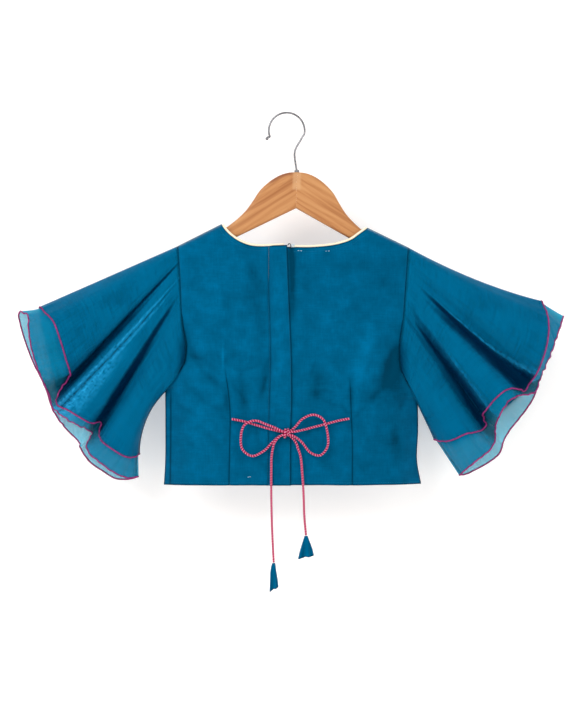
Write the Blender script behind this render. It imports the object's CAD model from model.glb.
"""The visual model of a child's choli blouse with double flutter sleeves, hung on a wooden hanger.

The blouse's back, with its placket and tie bow, faces -Y, and +X is to the right of someone who
looks at that back. The origin is the inside top of the hanger's hook. Lengths in the tables are
millimetres, and meshes are in metres.
"""

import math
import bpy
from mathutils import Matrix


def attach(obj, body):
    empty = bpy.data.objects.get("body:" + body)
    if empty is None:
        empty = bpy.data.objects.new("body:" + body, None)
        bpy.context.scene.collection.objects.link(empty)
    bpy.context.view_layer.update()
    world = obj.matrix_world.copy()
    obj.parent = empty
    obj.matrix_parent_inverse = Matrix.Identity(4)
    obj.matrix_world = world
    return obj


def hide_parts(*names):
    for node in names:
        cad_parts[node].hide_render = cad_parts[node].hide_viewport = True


bl_info = {
    "name": "Choli blouse on a hanger",
    "version": (1, 0, 0),
    "blender": (4, 5, 0),
    "location": "3D View > Sidebar > Choli",
    "description": "Builds a child's choli blouse with double flutter sleeves on a wooden hanger",
    "category": "Object",
}

import bmesh
import bpy
import numpy as np
from mathutils import Euler, Matrix, Vector

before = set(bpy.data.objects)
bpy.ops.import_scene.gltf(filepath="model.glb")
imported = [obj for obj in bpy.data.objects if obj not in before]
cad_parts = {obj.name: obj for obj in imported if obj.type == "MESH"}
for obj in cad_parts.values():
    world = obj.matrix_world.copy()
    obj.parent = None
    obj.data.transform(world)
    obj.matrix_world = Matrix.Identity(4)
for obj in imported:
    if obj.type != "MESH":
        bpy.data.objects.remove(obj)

MM = 0.001
BODY = "root"

# Cloth and seams
BODY_THIN = 0.45
SLEEVE_THIN = 0.3
SEAM_DEPTH = 0.3
ARMHOLE_TUCK = 1.6
PLACKET_GAP = 0.1

# Hanger
TILT = math.radians(1.8)
ARM_THICK = 11.0
ARM_EDGE_ROUND = 3.6
STEM_X = 12.0
WOOD_TOP = -67.0
ARM_STEPS = (48, 40)
BEVEL_STEPS = 5
NOTCH_DROP = 41.5
ARM_TOP = [
    (0, 0), (10, -0.9), (20, -4.4), (31, -11.5), (42, -22.3), (50, -35), (57.5, -46), (67.5, -56.4),
]
ARM_TIP = [
    (78, -65.2), (90, -71.6), (110, -82), (118, -86.5), (122.6, -93), (121, -99.8), (114, -101.1),
]
WIRE = 3.0
LOOP_RADIUS = 20.6
LOOP_START = math.radians(200)
LOOP_END = math.radians(-10)
BEAD_PLACE = 2.2
BEAD_REACH = 1.9
BEAD_SWELL = 0.6
COLLAR = [(11.4, 0, -64.6), (11.5, 0, -65.4), (11.6, 0, -66.2), (11.7, 0, -67.6)]
COLLAR_RADIUS = 2.9
HOOK_TIP = [(-23.8, -30), (-21.6, -27)]
HOOK_SHANK = [(18.2, -26), (14.8, -32), (10.4, -39.6), (9, -45.5), (9.7, -54), (11.6, -66)]

# Outline of the body seen from behind, as (x, z) points
HEM_Z = -426.2
LEFT_SIDE = [(-141.2, HEM_Z), (-139.6, -398), (-139.4, -355), (-139.6, -315)]
LEFT_ARMHOLE = [
    (-139.6, -315), (-128, -303), (-119, -289), (-116, -266), (-120, -242), (-122, -198), (-125, -152),
]
RIGHT_SIDE = [(154.5, HEM_Z + 1), (149.8, -398), (151, -363), (150.5, -328)]
RIGHT_ARMHOLE = [
    (150.5, -328), (138, -308), (131, -290), (130, -268), (133.5, -240), (136.5, -198), (139.5, -153.5),
]
LEFT_NECK_POINT = (-75, -126.8)
RIGHT_NECK_POINT = (93, -131)
LEFT_NECK = [
    LEFT_NECK_POINT, (-69.5, -134.4), (-62.5, -141), (-53, -147), (-42, -151), (-31, -152.2),
    (-20.5, -152),
]
PLACKET_NECK = [(-20.2, -151.6), (0.5, -151.2)]
RIGHT_NECK = [
    (-14, -153), (9, -153.2), (29, -153.2), (49, -151.6), (62.5, -148.8), (73.5, -144.8), (83, -138.2),
    RIGHT_NECK_POINT,
]
FRONT_NECK = [
    LEFT_NECK_POINT, (-68, -142), (-56, -164), (-36, -184), (-10, -195), (9, -197), (28, -195),
    (54, -185), (74, -167), (86, -146), RIGHT_NECK_POINT,
]
PLACKET_STITCH = [(-21, HEM_Z), (-20.5, -363), (-18.5, -275), (-20.5, -200), (-20.5, -152)]
PLACKET_SEAM = [(x + PLACKET_GAP, z) for x, z in PLACKET_STITCH]
OPENING_EDGE = [(4.8, HEM_Z), (5, -363), (6, -330), (5.5, -275), (3.7, -231), (0.5, -151.2)]
UNDERLAP_EDGE = [(-13, HEM_Z + 0.5), (-12, -300), (-14, -153)]

# Depth of the body's cloth from the middle plane
ARMHOLE_DEPTH = 8.0
SHOULDER_ROUND = 8.0
UNDERARM_ROUND = 22.0
SIDE_ROUND = 46.0
TOP_DEPTH = 8.6
TOP_DEPTH_DOWN_TO = 160
FULL_DEPTH_FROM = 360
HEM_DEPTH = 18.0
PLACKET_LIFT = 1.7
PLACKET_RISE = 6.0

# Darts in the back, as (x, z) up from the hem to the point
LEFT_DART = [(-66, HEM_Z), (-65, -374), (-64.5, -350), (-66, -325), (-71, -290)]
RIGHT_DART = [(75, HEM_Z), (75, -374), (74, -350), (73, -325), (72, -300)]
DART_DEPTH = 1.8
DART_WIDTH = 3.5
DART_FADE = 40

# Hanging folds, as (x at the hem, x higher up, width, depth, height where each ends), and the
# share of a fold's height over which it grows to its full depth
BACK_FOLDS = [
    (-98, -94, 13, 3.0, -250), (-42, -50, 11, 2.2, -300), (42, 50, 12, 2.4, -290),
    (112, 104, 14, 3.2, -240),
]
FRONT_FOLDS = [
    (-102, -92, 15, 3.4, -240), (-34, -24, 14, 2.6, -270), (38, 30, 15, 2.8, -260),
    (108, 100, 15, 3.4, -240),
]
FOLD_GROWTH = 0.8

# Sleeve hems, as (share of the armhole, x, y, z), down the back side and up the front side
LEFT_OUTER_HEM = [
    (0.000, -284, 0, -222), (0.010, -277, -13, -228), (0.020, -266, -22, -239), (0.032, -257, -26, -262),
    (0.045, -250, -25, -286), (0.053, -247, -19, -298), (0.060, -251, -11, -306), (0.070, -260, -6, -317),
    (0.082, -264, -8, -329), (0.100, -261, -17, -335), (0.125, -249, -25, -340), (0.165, -234, -26, -349),
    (0.200, -223, -20, -355), (0.222, -216, -12, -354), (0.238, -213, -7, -355), (0.252, -215, -6.5, -364),
    (0.270, -214, -13, -371), (0.300, -209, -21, -377), (0.350, -199, -25, -384), (0.410, -184, -20, -393),
    (0.460, -174, -10, -394), (0.500, -170, 0, -391), (0.540, -174, 10, -393), (0.600, -188, 20, -391),
    (0.660, -204, 22, -381), (0.710, -216, 14, -370), (0.740, -222, 7, -360), (0.770, -232, 10, -354),
    (0.820, -246, 20, -345), (0.870, -258, 20, -332), (0.905, -264, 10, -320), (0.925, -266, 6, -308),
    (0.945, -270, 12, -295), (0.965, -276, 20, -272), (0.985, -282, 15, -245),
]
LEFT_INNER_HEM = [
    (0.000, -308, 0, -229), (0.010, -297, -9, -231), (0.020, -295, -15, -248), (0.032, -291, -18, -271),
    (0.045, -283, -16, -297), (0.055, -277, -10, -312), (0.070, -272, -3, -325), (0.090, -269, -9, -336),
    (0.125, -257, -16, -346), (0.165, -243, -18, -355), (0.205, -229, -11, -362), (0.238, -223, -3, -368),
    (0.262, -229, -8, -378), (0.290, -227, -13, -388), (0.340, -213, -16, -400), (0.400, -198, -15, -411),
    (0.460, -182, -8, -418), (0.500, -171, 0, -417), (0.540, -180, 8, -420), (0.600, -198, 15, -420),
    (0.650, -212, 16, -412), (0.700, -228, 11, -400), (0.740, -238, 3, -383), (0.775, -240, 9, -377),
    (0.815, -250, 14, -368), (0.865, -262, 13, -354), (0.900, -270, 8, -340), (0.925, -276, 3, -320),
    (0.942, -283, 10, -305), (0.958, -292, 16, -289), (0.975, -301, 15, -266), (0.990, -307, 8, -243),
]
RIGHT_OUTER_HEM = [
    (0.000, 292, 0, -215), (0.012, 297, -12, -227), (0.024, 299, -21, -244), (0.036, 296, -26, -266),
    (0.048, 290, -26, -286), (0.056, 285, -19, -299), (0.063, 281, -11, -306), (0.072, 277, -6, -312),
    (0.085, 273, -11, -318), (0.110, 264, -20, -316), (0.140, 252, -27, -316), (0.170, 239, -29, -325),
    (0.200, 229, -26, -337), (0.222, 224, -17, -345), (0.236, 226, -9, -350), (0.250, 229, -5.5, -357),
    (0.265, 225, -9, -362), (0.300, 216, -19, -365), (0.350, 204, -25, -367), (0.410, 189, -21, -374),
    (0.460, 177, -11, -376), (0.500, 170, 0, -374), (0.540, 177, 11, -377), (0.600, 191, 21, -379),
    (0.660, 207, 22, -372), (0.710, 220, 14, -363), (0.745, 229, 6, -354), (0.780, 238, 12, -347),
    (0.830, 252, 21, -338), (0.880, 266, 19, -326), (0.910, 274, 10, -315), (0.930, 278, 6, -306),
    (0.950, 283, 12, -292), (0.968, 289, 20, -268), (0.985, 293, 15, -240),
]
RIGHT_INNER_HEM = [
    (0.000, 318, 0, -233), (0.012, 313, -9, -246), (0.024, 307, -15, -261), (0.036, 302, -18, -275),
    (0.048, 296, -15, -289), (0.058, 291, -8, -303), (0.072, 286, -3, -319), (0.090, 278, -9, -322),
    (0.115, 267, -16, -323), (0.145, 254, -21, -329), (0.175, 246, -22, -340), (0.205, 241, -17, -351),
    (0.230, 239, -9, -360), (0.250, 240, -3, -368), (0.270, 238, -9, -377), (0.300, 232, -14, -386),
    (0.350, 218, -17, -397), (0.420, 205, -13, -408), (0.500, 199, 0, -415), (0.560, 206, 9, -415),
    (0.620, 218, 15, -410), (0.680, 234, 15, -401), (0.720, 246, 9, -390), (0.745, 249, 3, -378),
    (0.780, 256, 9, -366), (0.820, 266, 14, -354), (0.870, 277, 14, -340), (0.910, 285, 9, -326),
    (0.930, 288, 3, -315), (0.945, 293, 9, -301), (0.958, 300, 15, -286), (0.975, 308, 15, -266),
    (0.990, 315, 8, -246),
]

# How the sleeve's layers leave the armhole and lie on each other
LAYER_GAP = 2.0
OVER_PANEL = 3.8
OVER_PANEL_FROM = 0.38
OVER_PANEL_TO = 0.6
ARMHOLE_SEWN = 0.8
END_DEPTH = 3.0

# How far a sleeve's rows bow between armhole and hem: the top ridge along Z, the ends, which are what
# lies past a share of the armhole, along X, and near the underarm along X to cover it
LEFT_BOW = (0, -12, 6.0)
RIGHT_BOW = (-5.5, 0, 0.0)
RIDGE_SHARE = 0.02
END_SHARE = 0.34

# Neck piping
PIPING_TURN = 2.1
PIPING_RELIEF = 0.05
NECK_MIDDLE = (9, -125)
PIPING_START = (0.2, -151.2)
PIPING_END = (8.2, -153.3)

# Ties, each from its dart through the knot, round a loop and back through the knot, as (x, y, z)
TIE_LEFT_ROUTE = [
    (-62.5, -21.3, -350.3), (-50, -21.6, -352.6), (-34, -22.3, -357.2), (-18, -22.9, -361.6),
    (-6, -22.9, -362.8), (3, -22.9, -361.6), (9.5, -23.4, -357.6), (17, -24.6, -350.6), (30, -26, -345.2),
    (41, -26.2, -350), (46.5, -25.6, -366.5), (46.3, -23.4, -382), (38, -22.6, -391.5), (27, -23.2, -388.3),
    (16.5, -25.2, -376), (7.5, -26.3, -370.6), (-1, -26.3, -369.6), (-8.5, -26.3, -372.2),
    (-14.3, -26.2, -379.5), (-17, -24.4, -391), (-17.5, -23.2, -405), (-17.6, -22.8, -428),
    (-16.8, -22.6, -470), (-14.8, -22.6, -513.5),
]
TIE_RIGHT_ROUTE = [
    (71.5, -21.3, -349.8), (60, -21.6, -351.8), (44, -21.8, -356), (30, -22.4, -359.6), (18, -24.2, -362.6),
    (8, -26.2, -363.8), (-1, -26.3, -362.2), (-10, -26.3, -359.8), (-22, -26.2, -356.6), (-36, -26.2, -351.9),
    (-48, -26.2, -356.8), (-52.2, -24.5, -371.5), (-50.2, -22.6, -384.9), (-39.4, -22.4, -392.2),
    (-26.2, -22.7, -386.6), (-16, -22.9, -377.2), (-7.5, -22.9, -371.6), (1, -22.9, -371.4),
    (7.8, -22.9, -375.6), (12.6, -22.9, -383), (15.8, -22.9, -393), (17.9, -22.8, -414),
    (19.2, -22.7, -435), (20.2, -22.6, -462), (22, -22.6, -482.5),
]

# How see-through the part of the inner layer past the outer one is, and how much of that its near side has
FREE_SHEER = 0.17
NEAR_FREE = 0.13
FREE_EDGE_ROWS = 4

# Fine steps
CURVE_STEPS = 16
HEM_STEPS = 8
FALL_ROWS = 46
FREE_ROWS = 12
PIPING_POINTS = 420
PIPING_RISE = 0.95
LOOP_POINTS = 40
HOOK_STEPS = 4
TIE_RING = 0.3

# The dark lines along the panels' edges and seams: width, strength, and how far they fade at the placket
EDGE_LINE = 0.75
EDGE_DARK = 0.85
PLACKET_FADE = 0.62
PLACKET_FADE_REACH = 2.5

# How far from a side or armhole, and from a shoulder, the creases reach their full depth
SEAM_CALM = (10, 12)

# How much darker the cloth is for each millimetre of a crease's depth
BACK_CREASE_TONE = -0.62
FRONT_CREASE_TONE = -0.38

# Sewing
OVERLOCK_THREAD = 0.00042
OVERLOCK_SLANT = 0.6
STITCH_LIFT = 0.1
HEM_STITCH = 3.2
NECK_STITCH = 5.4
PALE_STITCHES = [(13.5, -157.6, 3.0, -0.2), (45.2, -158.2, 3.0, 0.2), (-43.8, -416.6, 2.0, 0.3)]
HOOK_AND_EYE = [
    (1.2, -11.2, -151.6), (2.6, -11.8, -149.8), (4.2, -11.9, -150.4), (4.4, -11.6, -153.4),
    (3.2, -11.3, -155.6),
]
THREAD_LOOPS = [
    [(5.2, -9.2, -154.2), (5.6, -10.6, -150.8), (6.6, -10.8, -150.0), (7.2, -9.4, -153.8)],
    [(7.4, -9.2, -154.0), (7.9, -10.6, -151.0), (8.8, -10.6, -150.6), (9.4, -9.3, -153.8)],
]

# Knot and tassels
KNOT_PLACE = (-1.0, -24.6, -366.4)
KNOT_WIDTH = 4.6
KNOT_DEPTH = 3.3
KNOT_HEIGHT = 4.4
KNOT_REACH = 10.0
KNOT_PULL = 0.62
KNOT_TURNS = 1.5
KNOT_BAND = 16
KNOT_SWAY = 1.2
STRAND_DEPTH = 0.2
FLECK_EDGES = (0.7, 0.94)
TASSEL_THIN = 0.5
TASSEL_EDGE = {"left": 2.6, "right": 1.8}

# Finishes: the shades of the cloth and the wood, and values that are the same all over a surface
SILK_SHADES = (0.42, 1.0, 1.75)
SEAM_DARK = 0.12
FREE_COLOUR = (34, 186, 216)
GLINT_COLOUR = (44, 168, 226)
WOOD_COLOURS = [(158, 98, 52), (183, 125, 74), (196, 142, 90)]
TEAL_SHEEN = {"Sheen_Roughness": 0.4, "Sheen_Tint": (0, 0.6, 1, 1), "Specular_Tint": (0, 0.6, 1, 1)}
SILK_SHEEN = {"Specular_IOR_Level": 0.16, "Sheen_Weight": 0.12, **TEAL_SHEEN}
ORGANZA_SHEEN = {"Specular_IOR_Level": 0.22, "Sheen_Weight": 0.1, **TEAL_SHEEN}
THREAD_SHEEN = {"Roughness": 0.6, "Specular_IOR_Level": 0.2}
CORD_SHEEN = {"Specular_IOR_Level": 0.2, "Sheen_Weight": 0.1}
PIPING_SHEEN = {"Specular_IOR_Level": 0.3, "Sheen_Weight": 0.1}
WOOD_SHEEN = {"Roughness": 0.48, "Specular_IOR_Level": 0.3, "Coat_Weight": 0.1, "Coat_Roughness": 0.35}
WIRE_SHEEN = {"Specular_IOR_Level": 0.5}
GRAIN_LEFT = math.radians(32)
GRAIN_RIGHT = math.radians(-32)
WIRE_SLIM = 0.8
GLUE_LINE = 0.02
JOINT_MARK = 0.6
BARK_MARK = 0.85
JOINT_CUTS_ACROSS = np.arange(-37, 9, 1.3)
JOINT_CUTS_UP = np.arange(-26, 0, 1.3)

# Studio
LIGHTS = [
    ("key_light", (-1.1, -1.9, 0.9), 1.4, 26.0),
    ("fill_light", (1.5, -1.8, 0.2), 2.0, 9.0),
    ("back_light", (0.3, 2.2, 0.9), 1.6, 14.0),
]
LIGHT_AIM = (0, 0, -0.28)
WORLD_STRENGTH = 0.75
WALL_GLOW = 0.24
PAPER = (0.92, 0.895, 0.875, 1)
SENSOR_WIDTH = 36.0
VIEW_CENTRE = (0.0055, -0.2829)

# Fine grids: shares of a side seam, an armhole and each stretch between the panels' upright lines
FINE_SIDE = np.linspace(0, 1, 52)
FINE_ARMHOLE = np.linspace(0, 1, 80)
TO_DART = np.concatenate(
    [[0, 0.03, 0.058, 0.073, 0.083, 0.092, 0.102, 0.115], np.linspace(0.14, 0.93, 24),
     [0.955, 0.972, 0.985, 0.993, 1]])
FROM_LEFT_DART = np.concatenate([[0, 0.01, 0.022, 0.04, 0.065], np.linspace(0.1, 1, 19)])
TO_RIGHT_DART = np.concatenate([np.linspace(0, 0.95, 38), [0.968, 0.98, 0.989, 0.995, 1]])
ACROSS_FRONT = np.linspace(0, 1, 60)
ACROSS_PLACKET = np.linspace(0, 1, 14)

# Creases in the back, as (x, z, x, z, half width, depth); a negative depth is a ridge
BACK_CREASES = [
    (-52.6, -296, -47, -350, 4.6, 0.75), (-19.2, -278, -29, -326, 3.0, 0.7), (-42, -170, -26, -214, 6.5, 0.8),
    (-36, -214, -24, -266, 4.5, 0.6), (34.8, -290, 33.7, -340, 6.0, 0.5), (129, -263, 112, -312, 6.5, 2.2),
    (112, -312, 87, -338, 5.0, 1.4), (98, -248, 75, -312, 8.5, -1.1), (-118, -254, -96, -296, 3.4, 1.0),
    (-96, -296, -72, -317, 3.0, 0.9), (-116, -274, -86, -289, 2.6, 0.7), (-110, -317, -86, -336, 3.0, 0.8),
    (-86, -336, -69, -342, 2.6, 0.8), (22, -311.7, 52, -309.4, 2.2, 0.6), (16, -320, 42, -323, 2.0, 0.5),
    (-56, -296.7, -28.4, -289.8, 2.2, 0.4), (50, -214, 44, -283, 9.0, -0.6),
    (-116, -375, -94, -389, 4.0, 0.6),
    (123.4, -360, 125.7, -394, 5.0, 1.0), (-36.5, -356, -33, -378, 3.0, 0.8),
    (-58, -385, -48, -404, 3.5, 0.5),
    (20, -345, 26, -372, 3.0, 0.6), (62, -332, 72, -347, 2.4, 0.9), (86, -340, 77, -350, 2.4, 0.8),
    (-76, -344, -67, -352, 2.2, 0.8), (-55, -350, -63, -356, 2.2, 0.7), (100, -392, 84, -412, 4.0, 0.5),
    (-100, -176, -112, -214, 6.0, 0.5), (92, -170, 118, -204, 6.0, 0.5), (-8, -236, -6, -300, 3.5, -0.5),
    (20, -176, 26, -226, 5.0, 0.5), (138, -320, 128, -345, 3.0, 0.8), (60, -180, 70, -236, 7.0, -0.5),
    (-128, -330, -104, -348, 2.4, 0.6), (-70, -200, -64, -262, 6.0, 0.5), (-12, -380, -10, -408, 2.6, 0.5),
    (12, -317, 58, -320, 2.0, 0.55), (14, -308, 47, -304, 1.8, 0.5), (34, -282, 25, -304, 2.0, 0.5),
    (-19, -293, -30, -326, 3.0, 0.8), (-46, -199, -20, -246, 2.4, 0.55), (-45, -177, -27, -196, 1.8, 0.5),
    (-65, -304, -41, -342, 2.8, 0.6), (36, -326, 61, -337, 2.0, 0.5),
]
FRONT_CREASES = [
    (-110, -262, -72, -300, 5.0, 1.3), (118, -262, 80, -304, 5.0, 1.3), (-30, -240, -36, -310, 6.0, 0.9),
    (34, -236, 42, -306, 6.0, 0.9), (-86, -330, -60, -352, 3.5, 0.8), (92, -326, 66, -350, 3.5, 0.8),
    (0, -230, 4, -300, 7.0, -0.7), (-100, -180, -112, -220, 6.0, 0.5), (104, -182, 118, -222, 6.0, 0.5),
    (-50, -372, -30, -400, 4.0, 0.6), (60, -370, 44, -402, 4.0, 0.6), (-124, -330, -104, -352, 3.0, 0.8),
]
RIPPLES = [(0.27, 41, 13, 0.4), (0.2, 17, -29, 1.9), (0.13, 11, 23, 4.1), (0.09, -8, 15, 2.6)]
SIDE_SEAM_LINE = [(-133.6, -424), (-132.9, -360), (-133, -311)]

# Where light and shade gather in the back, as (x, z, half width, half height, tone)
BACK_TONES = [
    (-92, -195, 42, 48, 0.22), (-8, -250, 9, 80, 0.2), (126, -300, 14, 32, -0.5), (-49, -322, 6, 24, -0.5),
    (34, -318, 7, 28, -0.42), (90, -280, 16, 36, 0.2), (124, -372, 14, 24, -0.35), (66, -190, 34, 34, -0.12),
    (-36, -198, 12, 26, -0.3), (-8, -352, 9, 8, 0.25), (-26, -304, 6, 22, -0.35), (118, -190, 18, 30, -0.2),
    (-106, -392, 18, 26, 0.14), (6.5, -188, 3.4, 40, -1.7), (5, -166, 2.8, 18, -1.3), (74, -322, 3, 16, -1.0),
    (-69, -328, 3, 12, -0.7),
    (-73, -281, 1.5, 13, 1.0), (2, -366, 10, 7, -0.5),
    (112, -404, 46, 34, -0.3), (122, -300, 13, 34, -0.65), (-104, -346, 24, 30, 0.2),
    (80, -240, 70, 60, -0.12),
    (118, -322, 20, 30, -0.4), (-30, -392, 12, 18, -0.15),
    (46, -392, 16, 16, -0.15), (-122, -270, 8, 30, 0.15),
]

# Sleeve folds, front and back alike, as (share of the armhole at the hem, half width, tone, where along
# the sleeve it starts, how far its share has moved at the armhole)
LEFT_FOLDS = [
    (0.064, 0.0110, -1.7, -0.12, 0.008), (0.080, 0.0120, -0.8, 0.1, 0.008), (0.109, 0.0026, -1.0, 0.0, 0.03),
    (0.226, 0.018, -2.0, 0.0, -0.03), (0.25, 0.022, -0.8, 0.2, -0.03), (0.125, 0.02, 0.25, 0.3, 0.03),
    (0.40, 0.05, 0.1, 0.2, 0), (0.492, 0.014, -0.5, 0.0, 0), (0.172, 0.03, 0.1, 0.3, 0),
    (0.03, 0.012, -0.12, 0.2, 0),
]
LEFT_GLINTS = [
    (0.100, 0.0042, 0.95, -0.1, 0.03), (0.119, 0.0052, 0.85, 0.02, 0.03), (0.137, 0.016, 0.6, 0.45, 0.02),
    (0.105, 0.016, 0.25, 0.1, 0.03),
]
RIGHT_FOLDS = [
    (0.074, 0.0155, -2.1, 0.08, 0.04), (0.100, 0.024, -0.9, 0.1, 0.04), (0.240, 0.020, -2.0, 0.05, 0.0),
    (0.214, 0.020, -0.8, 0.0, 0.0), (0.150, 0.03, 0.15, 0.3, 0), (0.40, 0.05, 0.1, 0.2, 0),
    (0.492, 0.014, -0.4, 0.0, 0), (0.268, 0.02, -0.5, -0.1, 0.0),
]
RIGHT_GLINTS = [(0.0555, 0.0024, 0.62, 0.1, 0.045), (0.198, 0.004, 0.3, 0.3, 0)]

# The shade under the arm: how dark, how far down the sleeve, and between which shares of the armhole
UNDERARM_SHADE = 0.85
UNDERARM_DEPTH = 0.16
UNDERARM_FROM = 0.28
UNDERARM_TO = 0.46

# The bulge that covers the open underarm: from which share of the armhole, how far down the sleeve it
# is fullest, and its half width
COVER_FROM = 0.2
COVER_FALL = 0.2
COVER_REACH = 0.2

# The ripples of the sleeves' hems and flutes, as (height, length, phase)
HEM_RIPPLES = [(0.55, 13.0, 0.3), (0.4, 7.7, 1.7)]
FLUTE_RIPPLES = [(0.25, 31.0, 0.9), (0.18, 19.0, 2.2)]

# Tassels: the places of their tops, and (drop, sideways drift, half width, half depth) of each ring
TASSEL_TOP_LEFT = (-14.7, -22.6, -514.3)
TASSEL_TOP_RIGHT = (22.1, -22.6, -483.3)
TASSEL_LEFT_RINGS = [
    (0, 0, 1.5, 1.5), (3, -0.4, 2.3, 2), (10, -0.6, 3.3, 2.6), (20, 0, 4.2, 3.2), (29.5, 0.2, 4.9, 3.6),
]
TASSEL_RIGHT_RINGS = [
    (0, 0, 1.5, 1.5), (3, 0, 2.6, 2.1), (9, 0, 4.7, 2.8), (16, 0, 7, 3.4), (24, -0.2, 8.8, 3.9),
]


class ClothSettings(bpy.types.PropertyGroup):
    """The colours and the creasing of the blouse's cloth."""

    body_colour: bpy.props.FloatVectorProperty(
        name="Body silk", description="Main colour of the body's cloth", size=3, subtype="COLOR",
        default=(0.0, 0.083, 0.182), min=0, max=1)
    organza_colour: bpy.props.FloatVectorProperty(
        name="Organza", description="Main colour of the sleeves' thin cloth", size=3, subtype="COLOR",
        default=(0.0, 0.122, 0.258), min=0, max=1)
    crease_strength: bpy.props.FloatProperty(
        name="Creases", description="Share of the full depth of the pressed and hanging creases",
        default=1.5, min=0, max=1.5, subtype="FACTOR")
    organza_cover: bpy.props.FloatProperty(
        name="Organza cover", description="Share of the light that one layer of organza stops",
        default=0.92, min=0.2, max=1, subtype="FACTOR")


class TrimSettings(bpy.types.PropertyGroup):
    """The piping, the ties, the rolled hems and the stitches."""

    piping_diameter: bpy.props.FloatProperty(
        name="Piping", description="Diameter of the neck piping", default=0.0026, unit="LENGTH")
    tie_diameter: bpy.props.FloatProperty(
        name="Ties", description="Diameter of the twisted tie cords", default=0.0028, unit="LENGTH")
    tie_pitch: bpy.props.FloatProperty(
        name="Tie twist", description="Length of one turn of the tie cords", default=0.0029, unit="LENGTH")
    hem_diameter: bpy.props.FloatProperty(
        name="Rolled hem", description="Diameter of the sleeves' rolled hems", default=0.0017, unit="LENGTH")
    overlock_spacing: bpy.props.FloatProperty(
        name="Overlock spacing", description="Distance between threads over the rolled hems",
        default=0.0017, unit="LENGTH")
    stitch_spacing: bpy.props.FloatProperty(
        name="Stitch spacing", description="Distance between topstitches", default=0.0026, unit="LENGTH")
    stitch_length: bpy.props.FloatProperty(
        name="Stitch length", description="Length of one topstitch", default=0.0019, unit="LENGTH")
    stitch_thickness: bpy.props.FloatProperty(
        name="Stitch thread", description="Thickness of the topstitching thread",
        default=0.00034, unit="LENGTH")


class StageSettings(bpy.types.PropertyGroup):
    """The studio round the blouse."""

    floor_drop: bpy.props.FloatProperty(
        name="Floor", description="Height of the floor below the hook", default=-0.66, unit="LENGTH")
    wall_depth: bpy.props.FloatProperty(
        name="Wall", description="Distance of the backdrop behind the hook", default=0.075, unit="LENGTH")
    camera_distance: bpy.props.FloatProperty(
        name="Camera", description="Distance of the camera from the blouse", default=2.4, unit="LENGTH")
    view_height: bpy.props.FloatProperty(
        name="View height", description="Height that the camera sees at the blouse",
        default=0.828, unit="LENGTH")


def spline(points, per_segment):
    """Points on a centripetal Catmull-Rom curve through the given ones."""
    given = np.array(points, float)
    path = np.vstack([2 * given[0] - given[1], given, 2 * given[-1] - given[-2]])
    found = []
    for a, b, c, d in zip(path[:-3], path[1:-2], path[2:-1], path[3:]):
        steps = [math.sqrt(max(np.linalg.norm(q - p), 1e-6)) for p, q in ((a, b), (b, c), (c, d))]
        t0, t1, t2, t3 = np.cumsum([0, *steps])
        t = np.linspace(t1, t2, per_segment, endpoint=False)[:, None]
        ab = (t1 - t) / (t1 - t0) * a + (t - t0) / (t1 - t0) * b
        bc = (t2 - t) / (t2 - t1) * b + (t - t1) / (t2 - t1) * c
        cd = (t3 - t) / (t3 - t2) * c + (t - t2) / (t3 - t2) * d
        abc = (t2 - t) / (t2 - t0) * ab + (t - t0) / (t2 - t0) * bc
        bcd = (t3 - t) / (t3 - t1) * bc + (t - t1) / (t3 - t1) * cd
        found.append((t2 - t) / (t2 - t1) * abc + (t - t1) / (t2 - t1) * bcd)
    return np.vstack([*found, given[-1]])


def run_along(points):
    """How far along a line each of its points lies."""
    return np.concatenate([[0], np.cumsum(np.linalg.norm(np.diff(points, axis=0), axis=1))])


def along(points, shares, curved=True):
    """The points at these shares of a line's length; a curved line is smooth through its points."""
    path = spline(points, CURVE_STEPS) if curved else np.array(points, float)
    reach = run_along(path)
    wanted = np.array(shares) * reach[-1]
    axes = range(path.shape[1])
    return np.column_stack([np.interp(wanted, reach, path[:, axis]) for axis in axes])


def smooth_step(value, start, end):
    """Rises softly from 0 at start to 1 at end."""
    share = np.clip((value - start) / (end - start), 0, 1)
    return share * share * (3 - 2 * share)


def quarter_round(distance, size):
    """Rises from 0 to 1 over this size, like the quarter of a circle."""
    share = np.clip(distance / size, 0, 1)
    return np.sqrt(1 - (1 - share) ** 2)


def x_at(line, z):
    """Where a line that only rises stands at a height."""
    path = spline(line, 8)
    return np.interp(z, path[:, 1], path[:, 0])


def shoulder_height(x):
    """The shoulder line's height, carried on towards the middle of the neck."""
    left_tip, right_tip = LEFT_ARMHOLE[-1], RIGHT_ARMHOLE[-1]
    left_slope = (LEFT_NECK_POINT[1] - left_tip[1]) / (LEFT_NECK_POINT[0] - left_tip[0])
    right_slope = (RIGHT_NECK_POINT[1] - right_tip[1]) / (RIGHT_NECK_POINT[0] - right_tip[0])
    left = left_tip[1] + left_slope * (x - left_tip[0])
    right = right_tip[1] + right_slope * (x - right_tip[0])
    return np.minimum(left, right)


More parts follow.
